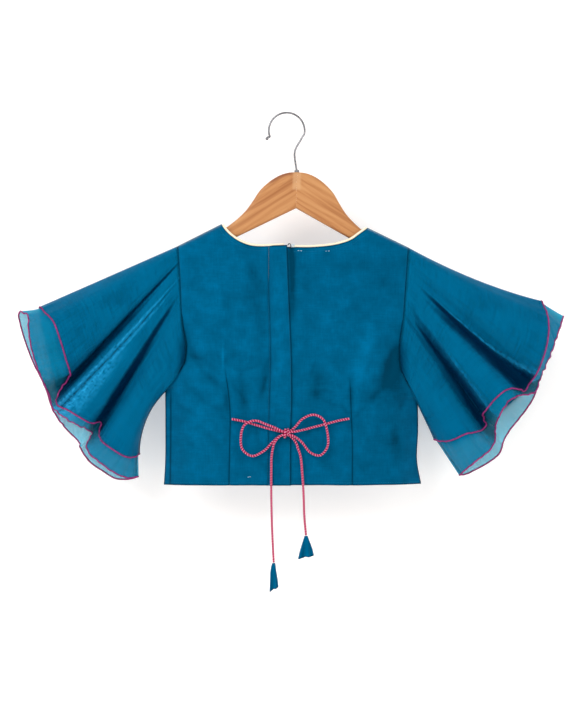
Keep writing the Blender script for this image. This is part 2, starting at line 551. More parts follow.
def body_depth(x, z):
    """How far the body's cloth stands from the middle plane, before its darts and folds."""
    below_shoulder = np.maximum(shoulder_height(x) - z, 0)
    left_edge = x_at(LEFT_SIDE[:-1] + LEFT_ARMHOLE, z)
    right_edge = x_at(RIGHT_SIDE[:-1] + RIGHT_ARMHOLE, z)
    from_left, from_right = x - left_edge, right_edge - x
    nearer_left = from_left < from_right
    inwards = np.maximum(np.where(nearer_left, from_left, from_right), 0)
    underarm_z = np.where(nearer_left, LEFT_ARMHOLE[0][1], RIGHT_ARMHOLE[0][1])
    middle = TOP_DEPTH + (HEM_DEPTH - TOP_DEPTH) * smooth_step(-z, TOP_DEPTH_DOWN_TO, FULL_DEPTH_FROM)
    edge = (ARMHOLE_DEPTH - SEAM_DEPTH) * quarter_round(z - underarm_z, UNDERARM_ROUND)
    filled = edge + (middle - edge) * np.sin(np.clip(inwards / SIDE_ROUND, 0, 1) * math.pi / 2)
    return SEAM_DEPTH + filled * quarter_round(below_shoulder, SHOULDER_ROUND)


def hanging_folds(x, z, folds):
    """Soft troughs that grow towards the hem, each as (x at the hem, x higher up, width, depth, top)."""
    left_edge, right_edge = LEFT_SIDE[0][0], RIGHT_SIDE[0][0]
    inside = smooth_step(x - left_edge, 0, SIDE_ROUND) * smooth_step(right_edge - x, 0, SIDE_ROUND)
    total = np.zeros_like(x)
    for hem_x, high_x, width, depth, top in folds:
        rise = (z - HEM_Z) / (top - HEM_Z)
        centre = hem_x + (high_x - hem_x) * rise
        total += depth * np.exp(-((x - centre) / width) ** 2) * smooth_step(1 - rise, 0, FOLD_GROWTH)
    return total * inside


def dart_groove(x, z, dart):
    """The shallow groove of a sewn dart, which fades out at its point."""
    beside = np.abs(x - x_at(dart, z))
    return DART_DEPTH * np.exp(-(beside / DART_WIDTH) ** 2) * smooth_step(dart[-1][1] - z, 0, DART_FADE)


def patch(bottom, top, left, right):
    """A grid of points between four edges, with its rows from the bottom up."""
    across = (np.linspace(0, 1, len(bottom)) + edge_shares(bottom) + edge_shares(top)) / 3
    up = edge_shares(left)
    u, v = across[None, :, None], up[:, None, None]
    between_rows = (1 - v) * bottom[None] + v * top[None]
    between_sides = (1 - u) * left[:, None] + u * right[:, None]
    corners = (1 - u) * ((1 - v) * bottom[0] + v * top[0]) + u * ((1 - v) * bottom[-1] + v * top[-1])
    return between_rows + between_sides - corners


def edge_shares(points):
    """Each point's share of the way along its edge."""
    reach = run_along(points)
    return reach / reach[-1]


def side_edge(side, armhole):
    """A side seam and the armhole above it, at the heights of a panel's rows."""
    return np.vstack([along(side, FINE_SIDE)[:-1], along(armhole, FINE_ARMHOLE)])


def upright_edge(line, underarm_z):
    """A line from hem to neck whose points stand beside a panel's rows."""
    underarm_share = (underarm_z - line[0][1]) / (line[-1][1] - line[0][1])
    lower = np.array(FINE_SIDE) * underarm_share
    upper = underarm_share + np.array(FINE_ARMHOLE) * (1 - underarm_share)
    return along(line, [*lower[:-1], *upper])


def panel_grid(uprights, tops, columns):
    """One grid from patches that share the upright lines between them."""
    grids = []
    for left, right, top, shares in zip(uprights[:-1], uprights[1:], tops, columns):
        bottom = left[0] + (right[0] - left[0]) * np.array(shares)[:, None]
        grid = patch(bottom, top, left, right)
        grids.append(grid if not grids else grid[:, 1:])
    return np.hstack(grids)


def stand(grid, depth_at):
    """A flat grid of (x, z) points, given its depth."""
    x, z = grid[..., 0], grid[..., 1]
    return np.stack([x, depth_at(x, z), z], axis=-1)


def hem_line(table):
    """A sleeve's hem from its front end over the shoulder to its back end, with signed shares."""
    front = [(share - 1, *point) for share, *point in table if share > 0.5]
    back = [(share, *point) for share, *point in table if share < 0.5]
    end_share, x, _, z = next(row for row in table if row[0] == 0.5)
    return [(-end_share, x, END_DEPTH, z), *front, *back, (end_share, x, -END_DEPTH, z)]


def armhole_line(armhole, shares):
    """Where a sleeve is sewn on, from the front end over the shoulder to the back end."""
    down = 2 * np.abs(shares) * ARMHOLE_SEWN
    edge = along(armhole, 1 - down)
    over = OVER_PANEL * smooth_step(down, OVER_PANEL_FROM, OVER_PANEL_TO)
    depth = body_depth(edge[:, 0], edge[:, 1]) + over
    return np.column_stack([edge[:, 0], -np.sign(shares) * depth, edge[:, 1]])


def outward_normals(grid):
    """The outward direction at each point of a sleeve's grid."""
    normals = np.cross(np.gradient(grid, axis=1), np.gradient(grid, axis=0))
    normals /= np.linalg.norm(normals, axis=2)[:, :, None]
    away = grid - grid.mean(axis=1, keepdims=True)
    return normals * np.sign((normals * away).sum())


def sleeve_rows(line, hem, shares, bow, falls):
    """Rows of points from the armhole to the hem, straight but for the bow of the ridge and of the ends and
    for the bulge that covers the open underarm."""
    steps = falls[:, None, None]
    rows = (1 - steps) * line[None] + steps * hem[None]
    bulge = 4 * steps[..., 0] * (1 - steps[..., 0])
    rows[..., 2] += bow[0] * bulge * np.exp(-(shares / RIDGE_SHARE) ** 2)
    rows[..., 0] += bow[1] * bulge * smooth_step(np.abs(shares), END_SHARE, 0.5)
    fall = steps[..., 0]
    covering = bow[2] * np.exp(-(((fall - COVER_FALL) / COVER_REACH) ** 2)) * np.minimum(1, 8 * fall)
    rows[..., 0] += covering * smooth_step(np.abs(shares), COVER_FROM, 0.5)
    return rows


def edge_length(points):
    """The length of a line through these points."""
    return np.linalg.norm(np.diff(points, axis=0), axis=1).sum()


def cut_at_mitre(mesh, side):
    """Keeps the arm on this side of the middle, closed flat at the mitre."""
    bm = bmesh.new()
    bm.from_mesh(mesh)
    bmesh.ops.remove_doubles(bm, verts=bm.verts, dist=0.00001)
    everything = [*bm.verts, *bm.edges, *bm.faces]
    edge = Vector((side * GLUE_LINE / 2 * MM, 0, 0))
    facing = (-side, 0, 0)
    bmesh.ops.bisect_plane(bm, geom=everything, plane_co=edge, plane_no=facing, clear_outer=True)
    rim = [item for item in bm.edges if item.is_boundary]
    bmesh.ops.holes_fill(bm, edges=rim)
    bmesh.ops.recalc_face_normals(bm, faces=bm.faces)
    bm.to_mesh(mesh)
    bm.free()


def cut_in_squares(mesh):
    """Cuts the faces round the arms' joint in small squares, so that marks drawn there keep their shape."""
    bm = bmesh.new()
    bm.from_mesh(mesh)
    for axis, places in (((1, 0, 0), JOINT_CUTS_ACROSS), ((0, 1, 0), JOINT_CUTS_UP)):
        for place in places:
            geometry = [*bm.verts, *bm.edges, *bm.faces]
            spot = Vector(axis) * place * MM
            bmesh.ops.bisect_plane(bm, geom=geometry, dist=1e-7, plane_co=spot, plane_no=axis)
    bm.to_mesh(mesh)
    bm.free()


def away_from_seams(x, z):
    """1 in the open cloth, and 0 at the body's side seams, armholes and shoulders."""
    left_edge = x_at(LEFT_SIDE[:-1] + LEFT_ARMHOLE, z)
    right_edge = x_at(RIGHT_SIDE[:-1] + RIGHT_ARMHOLE, z)
    inwards = np.minimum(x - left_edge, right_edge - x)
    return smooth_step(inwards, 0, SEAM_CALM[0]) * smooth_step(shoulder_height(x) - z, 0, SEAM_CALM[1])


def creases(x, z, table):
    """Soft troughs and ridges along short lines, each fading towards its ends."""
    total = np.zeros_like(x)
    for x0, z0, x1, z1, width, depth in table:
        run, rise = x1 - x0, z1 - z0
        share = np.clip(((x - x0) * run + (z - z0) * rise) / (run * run + rise * rise), 0, 1)
        distance = np.hypot(x - x0 - share * run, z - z0 - share * rise)
        total += depth * np.exp(-((distance / width) ** 2)) * (0.3 + 0.7 * np.sin(math.pi * share))
    return total


def ripples(x, z):
    """The faint unevenness of hung silk."""
    return sum(
        height * np.sin(x / across + z / along_z + phase) * np.sin(z / (0.6 * along_z) - x / (1.7 * across))
        for height, across, along_z, phase in RIPPLES
    )


def back_y(x, z):
    """Where the back's cloth stands."""
    detail = creases(x, z, BACK_CREASES) + ripples(x, z)
    strength = bpy.context.scene.choli_cloth.crease_strength
    depth = body_depth(x, z) - hanging_folds(x, z, BACK_FOLDS) - strength * detail * away_from_seams(x, z)
    return -(depth - dart_groove(x, z, LEFT_DART) - dart_groove(x, z, RIGHT_DART))


def front_y(x, z):
    """Where the front's cloth stands."""
    detail = creases(x, z, FRONT_CREASES) + ripples(-x, z)
    strength = bpy.context.scene.choli_cloth.crease_strength
    return body_depth(x, z) - hanging_folds(x, z, FRONT_FOLDS) - strength * detail * away_from_seams(x, z)


def placket_y(x, z):
    """The placket rises from its seam until it clears the edge beneath it."""
    return back_y(x, z) - PLACKET_LIFT * smooth_step(x - x_at(PLACKET_SEAM, z), 0, PLACKET_RISE)


def back_tone(x, z):
    """Lighter where the cloth crowns, and darker in its creases and beside its seams."""
    tone = BACK_CREASE_TONE * creases(x, z, BACK_CREASES)
    for centre_x, centre_z, half_width, half_height, amount in BACK_TONES:
        tone += amount * np.exp(-(((x - centre_x) / half_width) ** 2) - ((z - centre_z) / half_height) ** 2)
    return tone


def front_tone(x, z):
    """The front's lighter and darker places."""
    return FRONT_CREASE_TONE * creases(x, z, FRONT_CREASES)


def seam_lines(x, z):
    """1 on the darts and on the left side seam, falling to 0 beside them."""
    found = np.zeros_like(x)
    for line, width in ((LEFT_DART, 0.8), (RIGHT_DART, 0.8), (SIDE_SEAM_LINE, 0.9)):
        beside = np.abs(x - x_at(line, z))
        found = np.maximum(found, np.exp(-((beside / width) ** 2)) * smooth_step(line[-1][1] - z, -2, 22))
    return found


def edge_closeness(grid, width):
    """1 at a grid's own edges, falling to 0 inside it."""
    across = np.linalg.norm(np.diff(grid, axis=1), axis=2)
    up = np.linalg.norm(np.diff(grid, axis=0), axis=2)
    from_left = np.pad(np.cumsum(across, axis=1), ((0, 0), (1, 0)))
    from_bottom = np.pad(np.cumsum(up, axis=0), ((1, 0), (0, 0)))
    nearest = np.minimum.reduce(
        [from_left, from_left[:, -1:] - from_left, from_bottom, from_bottom[-1:] - from_bottom])
    return np.exp(-((nearest / width) ** 2))


def grid_mesh(name, grid, uv, attributes, material, thickness):
    """A closed thin shell of cloth from a grid of points, with its own map in metres and its attributes."""
    rows, columns = grid.shape[:2]
    index = np.arange(rows * columns).reshape(rows, columns)
    faces = np.stack([index[:-1, :-1], index[:-1, 1:], index[1:, 1:], index[1:, :-1]], axis=-1).reshape(-1, 4)
    mesh = bpy.data.meshes.new(name)
    mesh.from_pydata((grid.reshape(-1, 3) * MM).tolist(), [], faces.tolist())
    flat = (np.asarray(uv, float).reshape(-1, 2) * MM)[faces.reshape(-1)]
    mesh.uv_layers.new(name="UVMap").data.foreach_set("uv", flat.astype(np.float32).reshape(-1))
    keep_values(mesh, attributes)
    mesh.shade_smooth()
    mesh.materials.append(material)
    obj = in_scene(name, mesh)
    shell = obj.modifiers.new("Wall", "SOLIDIFY")
    shell.thickness = thickness * MM
    shell.offset = 0
    return keep_result(obj)


def keep_result(obj):
    """Turns what an object's modifiers make into its own plain mesh."""
    bpy.context.view_layer.update()
    made = bpy.data.meshes.new_from_object(obj.evaluated_get(bpy.context.evaluated_depsgraph_get()))
    obj.modifiers.clear()
    obj.data = made
    made.name = obj.name
    return obj


def in_scene(name, data):
    """A new object of this data, in the scene."""
    obj = bpy.data.objects.new(name, data)
    bpy.context.scene.collection.objects.link(obj)
    return obj


def keep_values(mesh, values_of):
    """Keeps one value of each name on each point of a mesh."""
    for key, values in values_of.items():
        layer = mesh.attributes.new(key, "FLOAT", "POINT")
        layer.data.foreach_set("value", np.asarray(values, np.float32).reshape(-1))


def belongs(obj, slot, *nodes):
    """The piece rides on the blouse, takes this slot's finish and stands for these nodes."""
    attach(obj, BODY)
    if nodes:
        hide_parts(*nodes)
    return obj


def sweep(name, points, radius, sides, material, shape=None, mark=None):
    """A tube along a line of points in millimetres. shape and mark give, from the angle round it and the
    length along it, its share of the radius and the value of its attribute "mark"."""
    path = np.asarray(points, float)
    heading = np.gradient(path, axis=0)
    heading /= np.linalg.norm(heading, axis=1)[:, None]
    side = np.cross(heading[0], (0.13, 0.97, 0.21))
    sides_way = []
    for direction in heading:
        side = side - direction * side.dot(direction)
        side /= np.linalg.norm(side)
        sides_way.append(side)
    first = np.array(sides_way)
    second = np.cross(heading, first)
    reach = run_along(path)
    angle, run = np.meshgrid(np.arange(sides) / sides * 2 * math.pi, reach)
    size = radius * (shape(angle, run) if shape else np.ones_like(angle))
    ring = first[:, None] * (np.cos(angle) * size)[..., None]
    ring = ring + second[:, None] * (np.sin(angle) * size)[..., None]
    verts = (path[:, None] + ring).reshape(-1, 3)
    count = len(path)
    low = np.arange(count - 1)[:, None] * sides + np.arange(sides)[None]
    turn = np.arange(low.shape[0])[:, None] * sides + (np.arange(sides)[None] + 1) % sides
    faces = np.stack([low, turn, (turn + sides) % (count * sides), (low + sides) % (count * sides)], axis=-1)
    faces = faces.reshape(-1, 4).tolist()
    marks = mark(angle, run).reshape(-1) if mark else np.zeros(len(verts))
    verts = np.vstack([verts, path[0], path[-1]])
    marks = np.append(marks, [marks[0], marks[-1]])
    start, end = len(verts) - 2, len(verts) - 1
    last = (count - 1) * sides
    faces += [(start, (side_no + 1) % sides, side_no) for side_no in range(sides)]
    faces += [(end, last + side_no, last + (side_no + 1) % sides) for side_no in range(sides)]
    mesh = bpy.data.meshes.new(name)
    mesh.from_pydata((verts * MM).tolist(), [], faces)
    keep_values(mesh, {"mark": marks})
    bm = bmesh.new()
    bm.from_mesh(mesh)
    bmesh.ops.recalc_face_normals(bm, faces=bm.faces)
    bm.to_mesh(mesh)
    bm.free()
    mesh.shade_smooth()
    mesh.materials.append(material)
    return in_scene(name, mesh)


def spaced(points, step):
    """The points of a line at even steps of about this length."""
    count = max(2, round(edge_length(np.asarray(points, float)) / step))
    return along(points, np.linspace(0, 1, count), curved=False)


def add(tree, kind, inputs=None, **settings):
    """A node with these settings, each input given as a value or as another node's output."""
    made = tree.nodes.new(kind)
    for key, value in settings.items():
        setattr(made, key, value)
    for key, value in (inputs or {}).items():
        if isinstance(value, bpy.types.NodeSocket):
            tree.links.new(value, made.inputs[key])
        else:
            made.inputs[key].default_value = value
    return made


def maths(tree, operation, first, second=0.0):
    """The result of a sum on two values."""
    return add(tree, "ShaderNodeMath", {0: first, 1: second}, operation=operation).outputs[0]


def scaled(tree, value, by, plus, clamp=False):
    """A value multiplied and then added to, kept between 0 and 1 if clamped."""
    values = {0: value, 1: by, 2: plus}
    return add(tree, "ShaderNodeMath", values, operation="MULTIPLY_ADD", use_clamp=clamp).outputs[0]


def ramp_through(tree, value, colours, start=0.0, end=1.0):
    """A colour that runs through three, the second one at the middle of the ramp."""
    ramp = add(tree, "ShaderNodeValToRGB", {"Fac": value})
    stops = ramp.color_ramp.elements
    stops[0].position, stops[0].color = start, colours[0]
    stops[1].position, stops[1].color = end, colours[2]
    stops.new(0.5).color = colours[1]
    return ramp.outputs[0]


def emboss(tree, shader, height, strength, distance):
    """Raises a finish's surface by a height map."""
    bump = add(tree, "ShaderNodeBump", {"Strength": strength, "Distance": distance, "Height": height})
    tree.links.new(bump.outputs[0], shader.inputs["Normal"])


def speckle(tree, per_metre, detail=2.0):
    """Noise read in the piece's own place."""
    place = add(tree, "ShaderNodeTexCoord").outputs["Object"]
    noise = add(tree, "ShaderNodeTexNoise", {"Vector": place, "Scale": per_metre, "Detail": detail})
    return noise.outputs["Fac"]


def blend(tree, factor, first, second):
    """A colour between two others."""
    found = add(tree, "ShaderNodeMix", {0: factor, 6: first, 7: second}, data_type="RGBA")
    return found.outputs[2]


def attribute(tree, name):
    """A value kept on a piece's points."""
    return add(tree, "ShaderNodeAttribute", attribute_name=name).outputs["Fac"]


def new_group(name, kind, inputs, outputs):
    """An empty node group with these sockets, its first node and its last node."""
    tree = bpy.data.node_groups.new(name, kind)
    for label, socket, value in inputs:
        made = tree.interface.new_socket(label, in_out="INPUT", socket_type=socket)
        if value is not None:
            made.default_value = value
    for label, socket in outputs:
        tree.interface.new_socket(label, in_out="OUTPUT", socket_type=socket)
    return tree, tree.nodes.new("NodeGroupInput"), tree.nodes.new("NodeGroupOutput")


def fibre_group():
    """Streaks along the two ways of a cloth's threads, with softer patches under them."""
    if "Fibre streaks" in bpy.data.node_groups:
        return bpy.data.node_groups["Fibre streaks"]
    inputs = [
        ("Cloth map", "NodeSocketVector", None), ("Streaks per metre", "NodeSocketFloat", 700.0),
        ("Streak length", "NodeSocketFloat", 0.03), ("Patches per metre", "NodeSocketFloat", 38.0),
        ("Patch share", "NodeSocketFloat", 0.5),
    ]
    outputs = [("Tone", "NodeSocketFloat"), ("Height", "NodeSocketFloat")]
    tree, given, made = new_group("Fibre streaks", "ShaderNodeTree", inputs, outputs)
    fine, long = given.outputs["Streaks per metre"], maths(
        tree, "DIVIDE", 1.0, given.outputs["Streak length"])
    streaks = []
    for first, second in ((fine, long), (long, fine)):
        scale = add(tree, "ShaderNodeCombineXYZ", {"X": first, "Y": second}).outputs[0]
        placed = add(
            tree, "ShaderNodeVectorMath", {0: given.outputs["Cloth map"], 1: scale}, operation="MULTIPLY")
        noise = add(tree, "ShaderNodeTexNoise", {"Vector": placed.outputs[0], "Scale": 1.0, "Detail": 2.0})
        streaks.append(noise.outputs["Fac"])
    both = maths(tree, "MULTIPLY", maths(tree, "ADD", *streaks), 0.5)
    patches = add(tree, "ShaderNodeTexNoise", {
        "Vector": given.outputs["Cloth map"], "Scale": given.outputs["Patches per metre"], "Detail": 4.0,
        "Roughness": 0.6})
    mix = add(tree, "ShaderNodeMix", {0: given.outputs["Patch share"], 2: both, 3: patches.outputs["Fac"]})
    tree.links.new(mix.outputs[0], made.inputs["Tone"])
    tree.links.new(both, made.inputs["Height"])
    return tree


def weave_group():
    """The small over and under of a plain weave."""
    if "Plain weave" in bpy.data.node_groups:
        return bpy.data.node_groups["Plain weave"]
    inputs = [("Cloth map", "NodeSocketVector", None), ("Threads per metre", "NodeSocketFloat", 2200.0)]
    tree, given, made = new_group("Plain weave", "ShaderNodeTree", inputs, [("Height", "NodeSocketFloat")])
    threads = maths(tree, "MULTIPLY", given.outputs["Threads per metre"], math.pi)
    parts = add(tree, "ShaderNodeSeparateXYZ", {0: given.outputs["Cloth map"]})
    waves = [
        maths(tree, "SINE", maths(tree, "MULTIPLY", parts.outputs[axis], threads)) for axis in ("X", "Y")
    ]
    over = maths(tree, "MULTIPLY", *waves)
    tree.links.new(scaled(tree, over, by=0.5, plus=0.5), made.inputs["Height"])
    return tree


def grain_group():
    """The long figure of planed wood, which runs along the board's own X."""
    inputs = [
        ("Board place", "NodeSocketVector", None), ("Figure per metre", "NodeSocketFloat", 170.0),
        ("Length per metre", "NodeSocketFloat", 12.0),
    ]
    outputs = [("Tone", "NodeSocketFloat"), ("Pores", "NodeSocketFloat")]
    tree, given, made = new_group("Wood grain", "ShaderNodeTree", inputs, outputs)
    across, length = given.outputs["Figure per metre"], given.outputs["Length per metre"]
    scale = add(tree, "ShaderNodeCombineXYZ", {"X": length, "Y": across, "Z": across}).outputs[0]
    board = given.outputs["Board place"]
    placed = add(tree, "ShaderNodeVectorMath", {0: board, 1: scale}, operation="MULTIPLY")
    figure = add(tree, "ShaderNodeTexNoise", {
        "Vector": placed.outputs[0], "Scale": 1.0, "Detail": 5.0, "Roughness": 0.55, "Distortion": 0.6})
    fine = add(tree, "ShaderNodeTexNoise", {"Vector": placed.outputs[0], "Scale": 7.0, "Detail": 2.0})
    tree.links.new(figure.outputs["Fac"], made.inputs["Tone"])
    tree.links.new(fine.outputs["Fac"], made.inputs["Pores"])
    return tree


def use_group(tree, group, inputs):
    """A group's node with these inputs."""
    made = tree.nodes.new("ShaderNodeGroup")
    made.node_tree = group
    for key, value in inputs.items():
        if isinstance(value, bpy.types.NodeSocket):
            tree.links.new(value, made.inputs[key])
        else:
            made.inputs[key].default_value = value
    return made


def finish_of(name, **fixed):
    """A new material, its tree and its shader, with the shader's own values set."""
    made = bpy.data.materials.new(name)
    made.use_nodes = True
    shader = made.node_tree.nodes["Principled BSDF"]
    for key, value in fixed.items():
        shader.inputs[key.replace("_", " ")].default_value = value
    return made, made.node_tree, shader


def linear(red, green, blue):
    """A colour given as sRGB bytes, for a shader."""
    parts = [part / 255 for part in (red, green, blue)]
    return (*(part / 12.92 if part <= 0.04045 else ((part + 0.055) / 1.055) ** 2.4 for part in parts), 1)


def shade_of(colour, amount):
    """A colour made lighter or darker by this share."""
    return (*(min(1, part * amount) for part in colour), 1)


def silk_material():
    """Shot silk of the body: deep teal, softly streaked along both ways of the thread."""
    if "teal_shot_silk" in bpy.data.materials:
        return bpy.data.materials["teal_shot_silk"]
    main = bpy.context.scene.choli_cloth.body_colour
    made, tree, shader = finish_of("teal_shot_silk", **SILK_SHEEN)
    place = add(tree, "ShaderNodeUVMap", uv_map="UVMap").outputs[0]
    fibres = use_group(tree, fibre_group(), {
        "Cloth map": place, "Streaks per metre": 760.0, "Streak length": 0.016, "Patches per metre": 55.0,
        "Patch share": 0.62})
    streaked = maths(tree, "MULTIPLY", maths(tree, "SUBTRACT", fibres.outputs["Tone"], 0.5), 1.25)
    tone = maths(tree, "ADD", maths(tree, "MULTIPLY", attribute(tree, "tone"), 0.36), streaked)
    share = maths(tree, "ADD", tone, 0.5)
    toned = ramp_through(tree, share, [shade_of(main, amount) for amount in SILK_SHADES])
    seamed = blend(tree, attribute(tree, "seam"), toned, shade_of(main, SEAM_DARK))
    tree.links.new(seamed, shader.inputs["Base Color"])
    weave = use_group(tree, weave_group(), {"Cloth map": place, "Threads per metre": 1900.0})
    height = maths(tree, "ADD", maths(tree, "MULTIPLY", weave.outputs[0], 0.25), fibres.outputs["Height"])
    emboss(tree, shader, height, strength=0.35, distance=0.0004)
    rough = maths(tree, "ADD", maths(tree, "MULTIPLY", fibres.outputs["Tone"], -0.2), 0.58)
    tree.links.new(rough, shader.inputs["Roughness"])
    return made


def organza_material(name, lift):
    """Crisp see-through organza: deeper where it folds over itself, with crinkled glints along its ridges."""
    if name in bpy.data.materials:
        return bpy.data.materials[name]
    cloth = bpy.context.scene.choli_cloth
    main = tuple(cloth.organza_colour)
    made, tree, shader = finish_of(name, **ORGANZA_SHEEN)
    place = add(tree, "ShaderNodeUVMap", uv_map="UVMap").outputs[0]
    fibres = use_group(tree, fibre_group(), {
        "Cloth map": place, "Streaks per metre": 520.0, "Streak length": 0.045, "Patches per metre": 30.0,
        "Patch share": 0.4})
    crinkle = use_group(tree, fibre_group(), {
        "Cloth map": place, "Streaks per metre": 420.0, "Streak length": 0.012, "Patches per metre": 260.0,
        "Patch share": 0.55})
    streaked = maths(tree, "SUBTRACT", fibres.outputs["Tone"], 0.5)
    tone = maths(tree, "ADD", maths(tree, "MULTIPLY", attribute(tree, "tone"), 0.5), streaked)
    deepest = (0.0, main[1] * 0.09, main[2] * 0.17, 1)
    shades = [deepest, shade_of(main, lift), shade_of(main, 1.5 * lift)]
    toned = ramp_through(tree, maths(tree, "ADD", tone, 0.5), shades)
    free = blend(tree, attribute(tree, "free"), toned, linear(*FREE_COLOUR))
    broken = scaled(tree, crinkle.outputs["Tone"], by=5.0, plus=-2.0, clamp=True)
    glint = maths(tree, "MULTIPLY", attribute(tree, "glint"), broken)
    seamed = blend(tree, attribute(tree, "seam"), free, shade_of(main, SEAM_DARK))
    shining = blend(tree, glint, seamed, linear(*GLINT_COLOUR))
    tree.links.new(shining, shader.inputs["Base Color"])
    crinkled = maths(tree, "MULTIPLY", crinkle.outputs["Tone"], 0.7)
    height = maths(tree, "ADD", fibres.outputs["Height"], crinkled)
    emboss(tree, shader, height, strength=0.4, distance=0.0006)
    rough = maths(tree, "ADD", maths(tree, "MULTIPLY", glint, -0.15), 0.5)
    tree.links.new(rough, shader.inputs["Roughness"])
    weave = use_group(tree, weave_group(), {"Cloth map": place, "Threads per metre": 1500.0})
    cover = scaled(tree, weave.outputs[0], by=0.12, plus=1 - math.sqrt(1 - cloth.organza_cover) - 0.06)
    sheer = maths(tree, "MULTIPLY", attribute(tree, "free"), FREE_SHEER)
    tree.links.new(maths(tree, "SUBTRACT", cover, sheer), shader.inputs["Alpha"])
    return made


def thread_material(name, dark, light, per_metre=900.0):
    """Spun thread, its colour varying along it, read in the piece's own place."""
    if name in bpy.data.materials:
        return bpy.data.materials[name]
    made, tree, shader = finish_of(name, **THREAD_SHEEN)
    share = scaled(tree, speckle(tree, per_metre), by=2.0, plus=-0.5, clamp=True)
    tree.links.new(blend(tree, share, linear(*dark), linear(*light)), shader.inputs["Base Color"])
    return made


def marked_material(name, plain, marked, roughness, sheen):
    """Thread or piping of two colours, mixed by the mark on its points."""
    if name in bpy.data.materials:
        return bpy.data.materials[name]
    made, tree, shader = finish_of(name, Roughness=roughness, **sheen)
    varied = scaled(tree, speckle(tree, 700.0), by=0.7, plus=0.65)
    share = maths(tree, "MULTIPLY", attribute(tree, "mark"), varied)
    share.node.use_clamp = True
    tree.links.new(blend(tree, share, linear(*plain), linear(*marked)), shader.inputs["Base Color"])
    return made


def wood_material(side, turn):
    """Pale waxed wood, its grain along the arm, with the jointed ends lighter where they meet."""
    made, tree, shader = finish_of("waxed_wood_" + side, **WOOD_SHEEN)
    place = add(tree, "ShaderNodeTexCoord").outputs["Object"]
    turned = add(tree, "ShaderNodeMapping", {"Vector": place, "Rotation": (0, turn, 0)}).outputs[0]
    group = bpy.data.node_groups.get("Wood grain") or grain_group()
    grain = use_group(tree, group, {"Board place": turned})
    shades = [linear(*colour) for colour in WOOD_COLOURS]
    figured = ramp_through(tree, grain.outputs["Tone"], shades, start=0.3, end=0.7)
    jointed = blend(tree, attribute(tree, "joint"), figured, linear(204, 158, 112))
    dark = blend(tree, attribute(tree, "bark"), jointed, linear(132, 72, 38))
    tree.links.new(dark, shader.inputs["Base Color"])
    emboss(tree, shader, grain.outputs["Pores"], strength=0.25, distance=0.0003)
    return made


def wire_material():
    """Bright zinc wire, faintly drawn along its length."""
    made, tree, shader = finish_of("bright_zinc_wire", Metallic=1.0, **WIRE_SHEEN)
    noise = speckle(tree, 260.0, detail=3.0)
    colour = blend(tree, noise, linear(84, 84, 88), linear(168, 168, 172))
    tree.links.new(colour, shader.inputs["Base Color"])
    tree.links.new(scaled(tree, noise, by=0.2, plus=0.18), shader.inputs["Roughness"])
    return made


def plain_material(name, colour, roughness, metallic=0.0):
    """A finish of one colour."""
    made, _, shader = finish_of(name, Roughness=roughness, Metallic=metallic)
    shader.inputs["Base Color"].default_value = linear(*colour)
    return made


def stitch_tree():
    """Running stitches: short rounded threads at even steps along a line."""
    if "Running stitches" in bpy.data.node_groups:
        return bpy.data.node_groups["Running stitches"]
    inputs = [
        ("Line", "NodeSocketGeometry", None), ("Spacing", "NodeSocketFloat", 0.0026),
        ("Stitch length", "NodeSocketFloat", 0.0019), ("Thread thickness", "NodeSocketFloat", 0.0003),
        ("Thread", "NodeSocketMaterial", None),
    ]
    tree, given, made = new_group(
        "Running stitches", "GeometryNodeTree", inputs, [("Stitches", "NodeSocketGeometry")])
    line = add(tree, "GeometryNodeMeshToCurve", {"Mesh": given.outputs["Line"]})
    even = add(tree, "GeometryNodeResampleCurve", {
        "Curve": line.outputs[0], "Length": given.outputs["Spacing"]}, mode="LENGTH")
    thread = add(tree, "GeometryNodeMeshUVSphere", {"Segments": 6, "Rings": 5, "Radius": 0.5})
    size = add(tree, "ShaderNodeCombineXYZ", {
        "X": given.outputs["Thread thickness"], "Y": given.outputs["Thread thickness"],
        "Z": given.outputs["Stitch length"]})
    shaped = add(tree, "GeometryNodeTransform", {"Geometry": thread.outputs[0], "Scale": size.outputs[0]})
    heading = add(tree, "FunctionNodeAlignRotationToVector", {
        "Vector": add(tree, "GeometryNodeInputTangent").outputs[0]}, axis="Z")
    placed = add(tree, "GeometryNodeInstanceOnPoints", {
        "Points": even.outputs[0], "Instance": shaped.outputs[0], "Rotation": heading.outputs[0]})
    real = add(tree, "GeometryNodeRealizeInstances", {"Geometry": placed.outputs[0]})
    done = add(tree, "GeometryNodeSetMaterial", {
        "Geometry": real.outputs[0], "Material": given.outputs["Thread"]})
    tree.links.new(done.outputs[0], made.inputs[0])
    return tree


